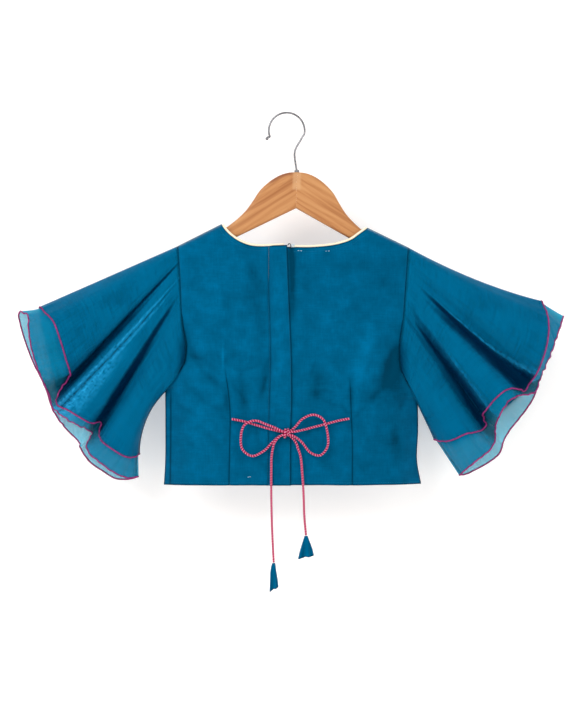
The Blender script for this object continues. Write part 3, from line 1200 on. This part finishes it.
def overlock_tree():
    """A rolled edge: a soft roll along a line, with slanting threads drawn over it."""
    if "Rolled hem" in bpy.data.node_groups:
        return bpy.data.node_groups["Rolled hem"]
    inputs = [
        ("Line", "NodeSocketGeometry", None), ("Roll diameter", "NodeSocketFloat", 0.0017),
        ("Spacing", "NodeSocketFloat", 0.0017), ("Thread thickness", "NodeSocketFloat", 0.0004),
        ("Slant", "NodeSocketFloat", 0.6), ("Roll", "NodeSocketMaterial", None),
        ("Thread", "NodeSocketMaterial", None),
    ]
    tree, given, made = new_group("Rolled hem", "GeometryNodeTree", inputs, [("Hem", "NodeSocketGeometry")])
    line = add(tree, "GeometryNodeMeshToCurve", {"Mesh": given.outputs["Line"]})
    radius = maths(tree, "MULTIPLY", given.outputs["Roll diameter"], 0.5)
    round_roll = add(tree, "GeometryNodeCurvePrimitiveCircle", {"Resolution": 8, "Radius": radius})
    fine = add(tree, "GeometryNodeResampleCurve", {"Curve": line.outputs[0], "Length": 0.0012}, mode="LENGTH")
    roll = add(tree, "GeometryNodeCurveToMesh", {
        "Curve": fine.outputs[0], "Profile Curve": round_roll.outputs[0], "Fill Caps": True})
    rolled = add(tree, "GeometryNodeSetMaterial", {
        "Geometry": roll.outputs[0], "Material": given.outputs["Roll"]})
    even = add(tree, "GeometryNodeResampleCurve", {
        "Curve": line.outputs[0], "Length": given.outputs["Spacing"]}, mode="LENGTH")
    loop = add(tree, "GeometryNodeCurvePrimitiveCircle", {"Resolution": 9, "Radius": radius})
    thread_radius = maths(tree, "MULTIPLY", given.outputs["Thread thickness"], 0.5)
    profile = add(tree, "GeometryNodeCurvePrimitiveCircle", {"Resolution": 3, "Radius": thread_radius})
    thread = add(tree, "GeometryNodeCurveToMesh", {
        "Curve": loop.outputs[0], "Profile Curve": profile.outputs[0]})
    heading = add(tree, "FunctionNodeAlignRotationToVector", {
        "Vector": add(tree, "GeometryNodeInputTangent").outputs[0]}, axis="Z")
    slant = add(tree, "ShaderNodeCombineXYZ", {"X": given.outputs["Slant"]})
    leaning = add(tree, "FunctionNodeRotateRotation", {
        "Rotation": heading.outputs[0], "Rotate By": slant.outputs[0]}, rotation_space="LOCAL")
    placed = add(tree, "GeometryNodeInstanceOnPoints", {
        "Points": even.outputs[0], "Instance": thread.outputs[0], "Rotation": leaning.outputs[0]})
    threaded = add(tree, "GeometryNodeSetMaterial", {
        "Geometry": add(tree, "GeometryNodeRealizeInstances", {"Geometry": placed.outputs[0]}).outputs[0],
        "Material": given.outputs["Thread"]})
    both = add(tree, "GeometryNodeJoinGeometry")
    tree.links.new(rolled.outputs[0], both.inputs[0])
    tree.links.new(threaded.outputs[0], both.inputs[0])
    tree.links.new(both.outputs[0], made.inputs[0])
    return tree


def sew(name, lines, tree, values):
    """Runs a Geometry Nodes tree along lines of points in millimetres, and keeps the mesh that it makes."""
    verts, edges = [], []
    for line in lines:
        start = len(verts)
        verts.extend((np.asarray(line, float) * MM).tolist())
        edges.extend((start + place, start + place + 1) for place in range(len(line) - 1))
    mesh = bpy.data.meshes.new(name)
    mesh.from_pydata(verts, edges, [])
    obj = in_scene(name, mesh)
    modifier = obj.modifiers.new("Sewing", "NODES")
    modifier.node_group = tree
    for item in tree.interface.items_tree:
        if item.in_out == "INPUT" and item.name in values:
            modifier[item.identifier] = values[item.name]
    keep_result(obj)
    obj.data.shade_smooth()
    if not obj.data.polygons:
        raise RuntimeError(name + " made no thread")
    return obj


def body_grids():
    """The four body panels, each as a flat grid of (x, z) points and what gives it its depth and tone."""
    left_side, right_side = side_edge(LEFT_SIDE, LEFT_ARMHOLE), side_edge(RIGHT_SIDE, RIGHT_ARMHOLE)
    left_guide = upright_edge(LEFT_DART + [(-76, -215), LEFT_NECK_POINT], LEFT_ARMHOLE[0][1])
    right_guide = upright_edge(RIGHT_DART + [(80, -220), RIGHT_NECK_POINT], RIGHT_ARMHOLE[0][1])
    left_shoulder = along([LEFT_ARMHOLE[-1], LEFT_NECK_POINT], TO_DART, curved=False)
    right_shoulder = along([RIGHT_NECK_POINT, RIGHT_ARMHOLE[-1]], 1 - TO_DART[::-1], curved=False)
    placket_side = upright_edge(PLACKET_STITCH, LEFT_ARMHOLE[0][1])
    underlap = upright_edge(UNDERLAP_EDGE, RIGHT_ARMHOLE[0][1])
    seam, opening = (upright_edge(line, LEFT_ARMHOLE[0][1]) for line in (PLACKET_SEAM, OPENING_EDGE))
    back_left = panel_grid(
        [left_side, left_guide, placket_side], [left_shoulder, along(LEFT_NECK, FROM_LEFT_DART)],
        [TO_DART, FROM_LEFT_DART])
    back_right = panel_grid(
        [underlap, right_guide, right_side], [along(RIGHT_NECK, TO_RIGHT_DART), right_shoulder],
        [TO_RIGHT_DART, 1 - TO_DART[::-1]])
    front = panel_grid(
        [left_side, left_guide, right_guide, right_side],
        [left_shoulder, along(FRONT_NECK, ACROSS_FRONT), right_shoulder],
        [TO_DART, ACROSS_FRONT, 1 - TO_DART[::-1]])
    placket = panel_grid([seam, opening], [along(PLACKET_NECK, ACROSS_PLACKET)], [ACROSS_PLACKET])
    return {
        "back_left": (back_left, back_y, back_tone), "back_right": (back_right, back_y, back_tone),
        "front": (front, front_y, front_tone), "placket": (placket, placket_y, back_tone),
    }


def hem_path(table):
    """A sleeve's hem as a fine smooth line, after the signed share of the armhole each point falls from."""
    line = np.array(hem_line(table), float)
    hem = spline(line[:, 1:], HEM_STEPS)
    return np.interp(np.arange(len(hem)) / HEM_STEPS, np.arange(len(line)), line[:, 0]), hem


def flutter(grid, falls, table, start):
    """Sets a layer's folds rippling, more towards its hem."""
    run = run_along(grid[-1])
    height = sum(size * np.sin(run / length * 2 * math.pi + phase) for size, length, phase in table)
    return height[None] * (np.clip((falls - start) / (1 - start), 0, 1) ** 2)[:, None]


def fold_marks(shares, falls, table):
    """The tone or glint of a sleeve's folds, front and back alike."""
    total = np.zeros((len(falls), len(shares)))
    for share, width, amount, start, drift in table:
        rise = smooth_step(falls, start, start + 0.3)[:, None]
        spread = width * (0.45 + 0.55 * falls)[:, None]
        place = share + drift * (1 - falls)[:, None]
        total += amount * rise * np.exp(-(((np.abs(shares)[None] - place) / spread) ** 2))
    return total


def sleeve_layers(armhole, outwards, tables, bow, folds, glints):
    """The outer and the inner layer of a sleeve as fine grids, each with its marks."""
    shares, hem = hem_path(tables[0])
    falls = np.linspace(0, 1, FALL_ROWS)
    line = armhole_line(armhole, shares)
    outer = sleeve_rows(line, hem, shares, bow, falls)
    normals = outward_normals(outer)
    wave = flutter(outer, falls, FLUTE_RIPPLES, 0.1) + flutter(outer, falls, HEM_RIPPLES, 0.8)
    outer = outer + normals * wave[..., None]
    known, inner_hem = hem_path(tables[1])
    reach = np.column_stack([np.interp(shares, known, inner_hem[:, axis]) for axis in range(3)])
    under = outer - normals * LAYER_GAP
    steps = np.linspace(0, 1, FREE_ROWS + 1)[1:, None, None]
    free = (1 - steps) * under[-1][None] + steps * reach[None]
    inner = np.vstack([under, free])
    inner_falls = np.linspace(0, 1, len(inner))
    inner = inner + outward_normals(inner) * flutter(inner, inner_falls, HEM_RIPPLES, 0.72)[..., None] * 1.6
    tucked = line.copy()
    tucked[:, 0] -= outwards * ARMHOLE_TUCK
    tucked[:, 1] *= 0.86
    found = []
    for grid, rows in ((outer, falls), (inner, inner_falls)):
        grid = np.vstack([tucked[None], grid])
        rows = np.concatenate([[0], rows])
        beyond = smooth_step(np.arange(len(grid)), FALL_ROWS - 1, FALL_ROWS - 1 + FREE_EDGE_ROWS)[:, None]
        sides = smooth_step(np.abs(shares), UNDERARM_FROM, UNDERARM_TO)[None]
        underarm = np.exp(-(rows / UNDERARM_DEPTH) ** 2)[:, None] * sides
        far = NEAR_FREE + (1 - NEAR_FREE) * smooth_step(-shares, -0.012, 0.004)
        marks = {
            "tone": fold_marks(shares, rows, folds) - UNDERARM_SHADE * underarm,
            "glint": fold_marks(shares, rows, glints),
            "free": beyond * far[None],
            "seam": np.exp(-(rows / 0.012) ** 2)[:, None] * 0.7 * np.ones_like(shares)[None],
        }
        across = run_along(grid[-1])
        down = np.pad(np.cumsum(np.linalg.norm(np.diff(grid, axis=0), axis=2).mean(axis=1)), (1, 0))
        uv = np.stack(np.broadcast_arrays(across[None], down[:, None]), axis=-1)
        found.append((grid, uv, marks))
    return found


def set_off_line(line, distance, count):
    """A line beside a neck edge, this far from it towards the neck's middle, or away from it if negative."""
    edge = along(line, np.linspace(0, 1, count), curved=False)
    heading = np.gradient(edge, axis=0)
    heading /= np.linalg.norm(heading, axis=1)[:, None]
    normal = np.column_stack([-heading[:, 1], heading[:, 0]])
    normal *= np.sign((normal * (np.array(NECK_MIDDLE) - edge)).sum(axis=1))[:, None]
    return edge + normal * distance


def piping_route():
    """Where the piping runs, from one edge of the opening over the front to the other."""
    left = [PIPING_START, *along(LEFT_NECK, np.linspace(0, 1, 40))[::-1]]
    right = [*along(RIGHT_NECK, np.linspace(0, 1, 60))[:10:-1], PIPING_END]
    front = along(FRONT_NECK, np.linspace(0, 1, 90))
    route = []
    for line, facing, count in ((left, -1, 60), (front, 1, 120), (right, -1, 80)):
        edge = set_off_line(line, 0, count)
        depth = body_depth(edge[:, 0], edge[:, 1]) * facing
        beside = set_off_line(line, PIPING_RISE, count)
        route.extend(np.column_stack([beside[:, 0], depth, beside[:, 1]])[2:-2])
    return along(route, np.linspace(0, 1, PIPING_POINTS))


def on_surface(line, depth_at, lift):
    """A line of (x, z) points laid on the outside of a panel."""
    points = np.asarray(line, float)
    return np.column_stack([points[:, 0], depth_at(points[:, 0], points[:, 1]) + lift, points[:, 1]])


class CHOLI_OT_hanger(bpy.types.Operator):
    """Makes the two wooden arms and the wire hook."""

    bl_idname = "choli.hanger"
    bl_label = "Hanger"

    def execute(self, context):
        top = along(ARM_TOP + ARM_TIP[:1], np.linspace(0, 1, ARM_STEPS[0]))
        half = np.vstack([top[:-1], along(ARM_TIP, np.linspace(0, 1, ARM_STEPS[1]))])
        outline = [*half, (0, -NOTCH_DROP), *(half[:0:-1] * (-1, 1))]
        for side, name, turn in ((-1, "left", GRAIN_LEFT), (1, "right", GRAIN_RIGHT)):
            curve = bpy.data.curves.new(name, "CURVE")
            curve.dimensions = "2D"
            curve.fill_mode = "BOTH"
            curve.extrude = (ARM_THICK / 2 - ARM_EDGE_ROUND) * MM
            curve.bevel_depth = ARM_EDGE_ROUND * MM
            curve.bevel_resolution = BEVEL_STEPS
            curve.offset = -ARM_EDGE_ROUND * MM
            line = curve.splines.new("POLY")
            line.points.add(len(outline) - 1)
            line.use_cyclic_u = True
            for point, (across, up) in zip(line.points, outline):
                point.co = (across * MM, up * MM, 0, 1)
            whole = in_scene(name, curve)
            evaluated = whole.evaluated_get(context.evaluated_depsgraph_get())
            mesh = bpy.data.meshes.new_from_object(evaluated)
            bpy.data.objects.remove(whole)
            cut_at_mitre(mesh, side)
            cut_in_squares(mesh)
            points = np.array([vert.co for vert in mesh.vertices]) / MM
            keep_values(mesh, self.marks(points, side))
            place = Matrix.Translation((STEM_X * MM, 0, WOOD_TOP * MM))
            mesh.transform(place @ Euler((math.pi / 2, TILT, 0)).to_matrix().to_4x4())
            mesh.materials.clear()
            mesh.materials.append(wood_material(name, turn))
            mesh.shade_smooth()
            mesh.set_sharp_from_angle(angle=math.radians(50))
            belongs(in_scene(name + "_wooden_arm", mesh), "hanger_wood", "hanger_arm_" + name)
        arc = [
            (LOOP_RADIUS * math.cos(turn), WIRE / 2 + LOOP_RADIUS * (math.sin(turn) - 1))
            for turn in np.linspace(LOOP_START, LOOP_END, LOOP_POINTS)
        ]
        line = spline([*HOOK_TIP, *arc, *HOOK_SHANK], HOOK_STEPS)
        route = np.column_stack([line[:, 0], np.zeros(len(line)), line[:, 1]])

        def bead(_, run):
            swell = np.exp(-((run - BEAD_PLACE) / BEAD_REACH) ** 2)
            return (1 + BEAD_SWELL * swell) * np.clip(0.35 + run / 1.1, 0, 1)

        hook = sweep("wire_hook", route, WIRE / 2 * WIRE_SLIM, 16, wire_material(), bead)
        belongs(hook, "hook_wire", "hanger_hook")
        collar = sweep("hook_collar", COLLAR, COLLAR_RADIUS, 20, wire_material())
        belongs(collar, "hook_wire")
        return {"FINISHED"}

    def marks(self, points, side):
        """Where the two arms are jointed, and where darker wood runs along the top of one."""
        across, up = points[:, 0], points[:, 1]
        inside = smooth_step(-np.abs(across), -4.9, -4.2)
        joint = inside * smooth_step(up, -22, -19) * JOINT_MARK
        top = np.interp(np.abs(across), [x for x, _ in ARM_TOP], [y for _, y in ARM_TOP])
        below = top - up
        bark = smooth_step(-below, -5.5, -1) * smooth_step(across, -36, -27) * smooth_step(-across, 2, 8)
        return {"joint": joint, "bark": bark * (BARK_MARK if side < 0 else 0)}


class CHOLI_OT_body(bpy.types.Operator):
    """Makes the front, the two backs and the placket strip."""

    bl_idname = "choli.body"
    bl_label = "Body"

    def execute(self, context):
        silk = silk_material()
        for name, (flat, depth_at, tone_at) in body_grids().items():
            grid = stand(flat, depth_at)
            x, z = flat[..., 0], flat[..., 1]
            beside_placket = np.exp(-((x - x_at(PLACKET_STITCH, z)) / PLACKET_FADE_REACH) ** 2)
            edges = edge_closeness(grid, EDGE_LINE) * (EDGE_DARK - PLACKET_FADE * beside_placket)
            lines = seam_lines(x, z) * (0 if name == "front" else EDGE_DARK)
            marks = {"tone": tone_at(x, z), "seam": np.maximum(edges, lines)}
            obj = grid_mesh(name + "_cloth", grid, flat, marks, silk, BODY_THIN)
            belongs(obj, "body_cloth", name)
        return {"FINISHED"}


class CHOLI_OT_sleeves(bpy.types.Operator):
    """Makes the two layers of each flutter sleeve, with their rolled hems."""

    bl_idname = "choli.sleeves"
    bl_label = "Sleeves"

    def execute(self, context):
        roll = thread_material("rolled_hem_magenta", (104, 22, 78), (176, 52, 128), 520.0)
        thread = thread_material("overlock_thread", (58, 10, 46), (142, 34, 104), 700.0)
        trims = context.scene.choli_trims
        for side, armhole, outwards, tables, bow, folds, glints in (
            ("left", LEFT_ARMHOLE, -1, (LEFT_OUTER_HEM, LEFT_INNER_HEM), LEFT_BOW, LEFT_FOLDS, LEFT_GLINTS),
            ("right", RIGHT_ARMHOLE, 1, (RIGHT_OUTER_HEM, RIGHT_INNER_HEM), RIGHT_BOW, RIGHT_FOLDS,
             RIGHT_GLINTS),
        ):
            layers = sleeve_layers(armhole, outwards, tables, bow, folds, glints)
            for layer, (grid, uv, marks) in zip(("outer", "inner"), layers):
                organza = organza_material("teal_organza_" + layer, 1.0 if layer == "outer" else 1.12)
                name = f"sleeve_{side}_{layer}"
                cloth = grid_mesh(name + "_cloth", grid, uv, marks, organza, SLEEVE_THIN)
                belongs(cloth, "sleeve_organza", name)
                hem = sew(name + "_hem", [grid[-1]], overlock_tree(), {
                    "Roll diameter": trims.hem_diameter, "Spacing": trims.overlock_spacing,
                    "Thread thickness": OVERLOCK_THREAD, "Slant": OVERLOCK_SLANT, "Roll": roll,
                    "Thread": thread})
                belongs(hem, "sleeve_organza")
        return {"FINISHED"}


class CHOLI_OT_piping(bpy.types.Operator):
    """Makes the neck piping."""

    bl_idname = "choli.piping"
    bl_label = "Neck piping"

    def execute(self, context):
        cream = marked_material("cream_gold_piping", (226, 210, 170), (250, 244, 226), 0.45, PIPING_SHEEN)
        radius = context.scene.choli_trims.piping_diameter / MM / 2

        def covered(angle, run):
            return 1 + PIPING_RELIEF * np.sin(angle * 2 + run * 2 * math.pi / PIPING_TURN)

        def lit(angle, run):
            return 0.5 + 0.5 * np.cos(angle * 2 + run * 2 * math.pi / PIPING_TURN)

        piping = sweep("neck_piping_cord", piping_route(), radius, 14, cream, covered, lit)
        belongs(piping, "piping", "neck_piping")
        return {"FINISHED"}


class CHOLI_OT_ties(bpy.types.Operator):
    """Makes the two tie cords, the wrap of their knot and their cloth tassels."""

    bl_idname = "choli.ties"
    bl_label = "Ties and tassels"

    def execute(self, context):
        trims = context.scene.choli_trims
        pink = marked_material("pink_twisted_cord", (160, 0, 66), (255, 168, 196), 0.6, CORD_SHEEN)
        radius, pitch = trims.tie_diameter / MM / 2, trims.tie_pitch / MM

        def strands(angle, run):
            return 0.8 + STRAND_DEPTH * np.abs(np.cos(angle - run * 2 * math.pi / pitch))

        def flecks(angle, run):
            return smooth_step(np.cos(angle - run * 2 * math.pi / pitch), *FLECK_EDGES)

        for side, route, top, rings in (
            ("left", TIE_LEFT_ROUTE, TASSEL_TOP_LEFT, TASSEL_LEFT_RINGS),
            ("right", TIE_RIGHT_ROUTE, TASSEL_TOP_RIGHT, TASSEL_RIGHT_RINGS),
        ):
            fine = self.drawn_in(spline(route, 40))
            length = edge_length(fine)
            points = along(fine, np.linspace(0, 1, round(length / TIE_RING)), curved=False)
            tie = sweep(f"tie_{side}_cord", points, radius, 10, pink, strands, flecks)
            belongs(tie, "tie_cord", "tie_" + side)
            tassel = self.tassel(side, top, rings)
            binding = self.binding(side, top)
        turns = np.linspace(0, KNOT_TURNS * 2 * math.pi, 220)
        wrap = np.column_stack([
            KNOT_PLACE[0] + KNOT_WIDTH * (turns / turns[-1] - 0.5) + KNOT_SWAY * np.sin(turns),
            KNOT_PLACE[1] + KNOT_DEPTH * np.cos(turns), KNOT_PLACE[2] + KNOT_HEIGHT * np.sin(turns)])
        knot = sweep("tie_knot", spaced(wrap, TIE_RING), radius, 10, pink, strands, flecks)
        belongs(knot, "tie_cord")
        return {"FINISHED"}

    def drawn_in(self, line):
        """The ties' line pulled together where the knot holds it."""
        above = line[:, 2] - KNOT_PLACE[2]
        near = np.exp(-(((line[:, 0] - KNOT_PLACE[0]) / KNOT_REACH) ** 2)) * (np.abs(above) < KNOT_BAND)
        pulled = line.copy()
        pulled[:, 2] -= above * near * KNOT_PULL
        return pulled

    def tassel(self, side, top, rings):
        """A small gathered cone of cloth, open below, its raw edge uneven."""
        sizes = np.array(rings, float)
        drops = np.linspace(0, sizes[-1, 0], 30)
        drift, wide, deep = (np.interp(drops, sizes[:, 0], sizes[:, column]) for column in (1, 2, 3))
        turns = np.linspace(0, 2 * math.pi, 97)
        share = (drops / drops[-1])[:, None]
        pleat = 1 + 0.2 * share * np.cos(5 * turns + 0.8)[None] + 0.07 * share * np.cos(11 * turns)[None]
        uneven = TASSEL_EDGE[side] * np.cos(turns)[None] * share
        uneven = uneven + 0.9 * np.cos(4 * turns + 1)[None] * share ** 4
        grid = np.stack([
            top[0] + drift[:, None] + wide[:, None] * np.cos(turns)[None] * (0.92 + 0.08 * pleat),
            top[1] + deep[:, None] * np.sin(turns)[None] * pleat,
            top[2] - drops[:, None] + uneven,
        ], axis=-1)
        uv = np.stack(np.broadcast_arrays(turns[None] * 6, drops[:, None]), axis=-1)
        marks = {
            "tone": -0.9 * share * np.cos(5 * turns + 0.8 + math.pi)[None] * 0.6 + np.zeros_like(uneven),
            "seam": np.exp(-((1 - share) / 0.03) ** 2) * 0.7 * np.ones_like(uneven),
        }
        tassel = grid_mesh(f"tassel_{side}_cloth", grid, uv, marks, silk_material(), TASSEL_THIN)
        return belongs(tassel, "body_cloth", "tassel_" + side)

    def binding(self, side, top):
        """Thread wound round the neck of a tassel."""
        turns = np.linspace(0, 10 * math.pi, 160)
        thread = thread_material("tassel_thread", (4, 70, 104), (10, 118, 158))
        coil = np.column_stack([
            top[0] + 1.75 * np.cos(turns), top[1] + 1.75 * np.sin(turns), top[2] - 0.9 - turns * 0.06])
        return belongs(sweep(f"tassel_{side}_binding", coil, 0.28, 6, thread), "body_cloth")


class CHOLI_OT_stitches(bpy.types.Operator):
    """Sews the topstitches, the armhole stitches and the fastening at the neck."""

    bl_idname = "choli.stitches"
    bl_label = "Stitches and fastening"

    def execute(self, context):
        trims = context.scene.choli_trims
        values = {
            "Spacing": trims.stitch_spacing, "Stitch length": trims.stitch_length,
            "Thread thickness": trims.stitch_thickness,
        }
        lift = BODY_THIN / 2 + STITCH_LIFT

        def hem(left, right):
            return np.column_stack([np.linspace(left, right, 120), np.full(120, HEM_Z + HEM_STITCH)])

        back = [
            on_surface(set_off_line(LEFT_NECK, -NECK_STITCH, 60), back_y, -lift),
            on_surface(set_off_line(RIGHT_NECK[1:], -NECK_STITCH, 60), back_y, -lift),
            on_surface(hem(-139.5, -22.5), back_y, -lift), on_surface(hem(6.5, 152.5), back_y, -lift),
            on_surface(hem(-19, 3), placket_y, -lift),
            on_surface(self.beside(PLACKET_STITCH, -1.0), back_y, -lift),
            on_surface(self.beside(OPENING_EDGE, -1.6), placket_y, -lift),
            on_surface(self.beside(LEFT_ARMHOLE, 1.2, 0.04), back_y, -lift),
            on_surface(self.beside(RIGHT_ARMHOLE, -1.2, 0.04), back_y, -lift),
        ]
        front = [
            on_surface(set_off_line(FRONT_NECK, -NECK_STITCH, 110), front_y, lift),
            on_surface(hem(-139.5, 152.5), front_y, lift),
            on_surface(self.beside(LEFT_ARMHOLE, 1.2, 0.04), front_y, lift),
            on_surface(self.beside(RIGHT_ARMHOLE, -1.2, 0.04), front_y, lift),
        ]
        thread = thread_material("teal_thread", (4, 78, 116), (16, 120, 160))
        stitches = sew("body_topstitches", [*back, *front], stitch_tree(), {**values, "Thread": thread})
        belongs(stitches, "body_cloth")
        pale = thread_material("pale_thread", (120, 180, 205), (225, 238, 242))
        flecks = [
            on_surface(np.array([(x, z), (x + length, z + rise)]), back_y, -lift - 0.1)
            for x, z, length, rise in PALE_STITCHES
        ]
        loose = sew("pale_stitches", flecks, stitch_tree(), {
            **values, "Spacing": 0.002, "Thread thickness": 0.0006, "Thread": pale})
        belongs(loose, "body_cloth")
        steel = plain_material("black_hook", (9, 10, 14), 0.5, 0.2)
        hook = sweep("neck_hook", spaced(spline(HOOK_AND_EYE, 8), 0.4), 0.5, 8, steel)
        belongs(hook, "body_cloth")
        for number, loop in enumerate(THREAD_LOOPS):
            piece = sweep(f"thread_eye_{number}", spaced(spline(loop, 8), 0.4), 0.34, 6, pale)
            belongs(piece, "body_cloth")
        return {"FINISHED"}

    def beside(self, line, across, margin=0.0):
        """A line moved sideways, cut short by a share at each end."""
        points = along(line, np.linspace(margin, 1 - margin, 120))
        return points + (across, 0)


class CHOLI_OT_stage(bpy.types.Operator):
    """Sets up the floor, the backdrop, the lights, the world and the camera."""

    bl_idname = "choli.stage"
    bl_label = "Studio"

    def execute(self, context):
        stage = context.scene.choli_stage
        self.sheet("studio_floor", [(-4, -4), (4, -4), (4, 4), (-4, 4)], stage.floor_drop, False)
        corners = [(-3, stage.floor_drop), (3, stage.floor_drop), (3, 2.2), (-3, 2.2)]
        self.sheet("studio_wall", corners, stage.wall_depth, True)
        for name, place, size, power in LIGHTS:
            light = bpy.data.lights.new(name, "AREA")
            light.shape = "DISK"
            light.size = size
            light.energy = power
            lamp = in_scene(name, light)
            lamp.location = place
            aim = Vector(LIGHT_AIM) - Vector(place)
            lamp.rotation_euler = aim.to_track_quat("-Z", "Y").to_euler()
        world = bpy.data.worlds.new("white_room")
        world.use_nodes = True
        ground = world.node_tree.nodes["Background"]
        ground.inputs["Color"].default_value = (1, 1, 1, 1)
        ground.inputs["Strength"].default_value = WORLD_STRENGTH
        context.scene.world = world
        context.scene.view_settings.view_transform = "Standard"
        camera = bpy.data.cameras.new("camera")
        camera.sensor_width = SENSOR_WIDTH
        camera.lens = SENSOR_WIDTH * stage.camera_distance / stage.view_height
        camera.clip_end = 50
        seen = in_scene("camera", camera)
        seen.location = (VIEW_CENTRE[0], -stage.camera_distance, VIEW_CENTRE[1])
        seen.rotation_euler = (math.pi / 2, 0, 0)
        context.scene.camera = seen
        return {"FINISHED"}

    def sheet(self, name, corners, height, upright):
        """A plain white surface, lying or upright, that is seen from the blouse's side only."""
        verts = [(a, height, b) if upright else (a, b, height) for a, b in corners]
        mesh = bpy.data.meshes.new(name)
        mesh.from_pydata(verts, [], [(0, 1, 2, 3)])
        made, tree, shader = finish_of(name + "_paper", Roughness=0.9)
        shader.inputs["Base Color"].default_value = PAPER
        shader.inputs["Specular IOR Level"].default_value = 0.0
        if upright:
            shader.inputs["Emission Color"].default_value = (1, 1, 1, 1)
            shader.inputs["Emission Strength"].default_value = WALL_GLOW
            clear = add(tree, "ShaderNodeBsdfTransparent")
            behind = add(tree, "ShaderNodeNewGeometry").outputs["Backfacing"]
            mix = add(tree, "ShaderNodeMixShader", {0: behind, 1: shader.outputs[0], 2: clear.outputs[0]})
            tree.links.new(mix.outputs[0], tree.nodes["Material Output"].inputs["Surface"])
        mesh.materials.append(made)
        paper = in_scene(name, mesh)
        paper.visible_shadow = not upright


class CHOLI_PT_panel(bpy.types.Panel):
    """Lists the blouse's settings and the operators that make it."""

    bl_idname = "CHOLI_PT_panel"
    bl_label = "Choli blouse"
    bl_space_type = "VIEW_3D"
    bl_region_type = "UI"
    bl_category = "Choli"

    def draw(self, context):
        for settings in (context.scene.choli_cloth, context.scene.choli_trims, context.scene.choli_stage):
            for key in settings.bl_rna.properties.keys():
                if key not in ("name", "rna_type"):
                    self.layout.prop(settings, key)
        for operator in OPERATORS:
            self.layout.operator(operator.bl_idname)


OPERATORS = (
    CHOLI_OT_hanger, CHOLI_OT_body, CHOLI_OT_sleeves, CHOLI_OT_piping, CHOLI_OT_ties, CHOLI_OT_stitches,
    CHOLI_OT_stage,
)
CLASSES = (ClothSettings, TrimSettings, StageSettings, *OPERATORS, CHOLI_PT_panel)


def register():
    """Makes the settings, the operators and the panel known."""
    for kind in CLASSES:
        bpy.utils.register_class(kind)
    bpy.types.Scene.choli_cloth = bpy.props.PointerProperty(type=ClothSettings)
    bpy.types.Scene.choli_trims = bpy.props.PointerProperty(type=TrimSettings)
    bpy.types.Scene.choli_stage = bpy.props.PointerProperty(type=StageSettings)


def unregister():
    """Forgets them again."""
    del bpy.types.Scene.choli_cloth, bpy.types.Scene.choli_trims, bpy.types.Scene.choli_stage
    for kind in reversed(CLASSES):
        bpy.utils.unregister_class(kind)


def main():
    """Makes the whole model."""
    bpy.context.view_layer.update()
    register()
    for operator in OPERATORS:
        getattr(bpy.ops.choli, operator.bl_idname.split(".")[1])()
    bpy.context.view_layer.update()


if __name__ == "__main__":
    main()
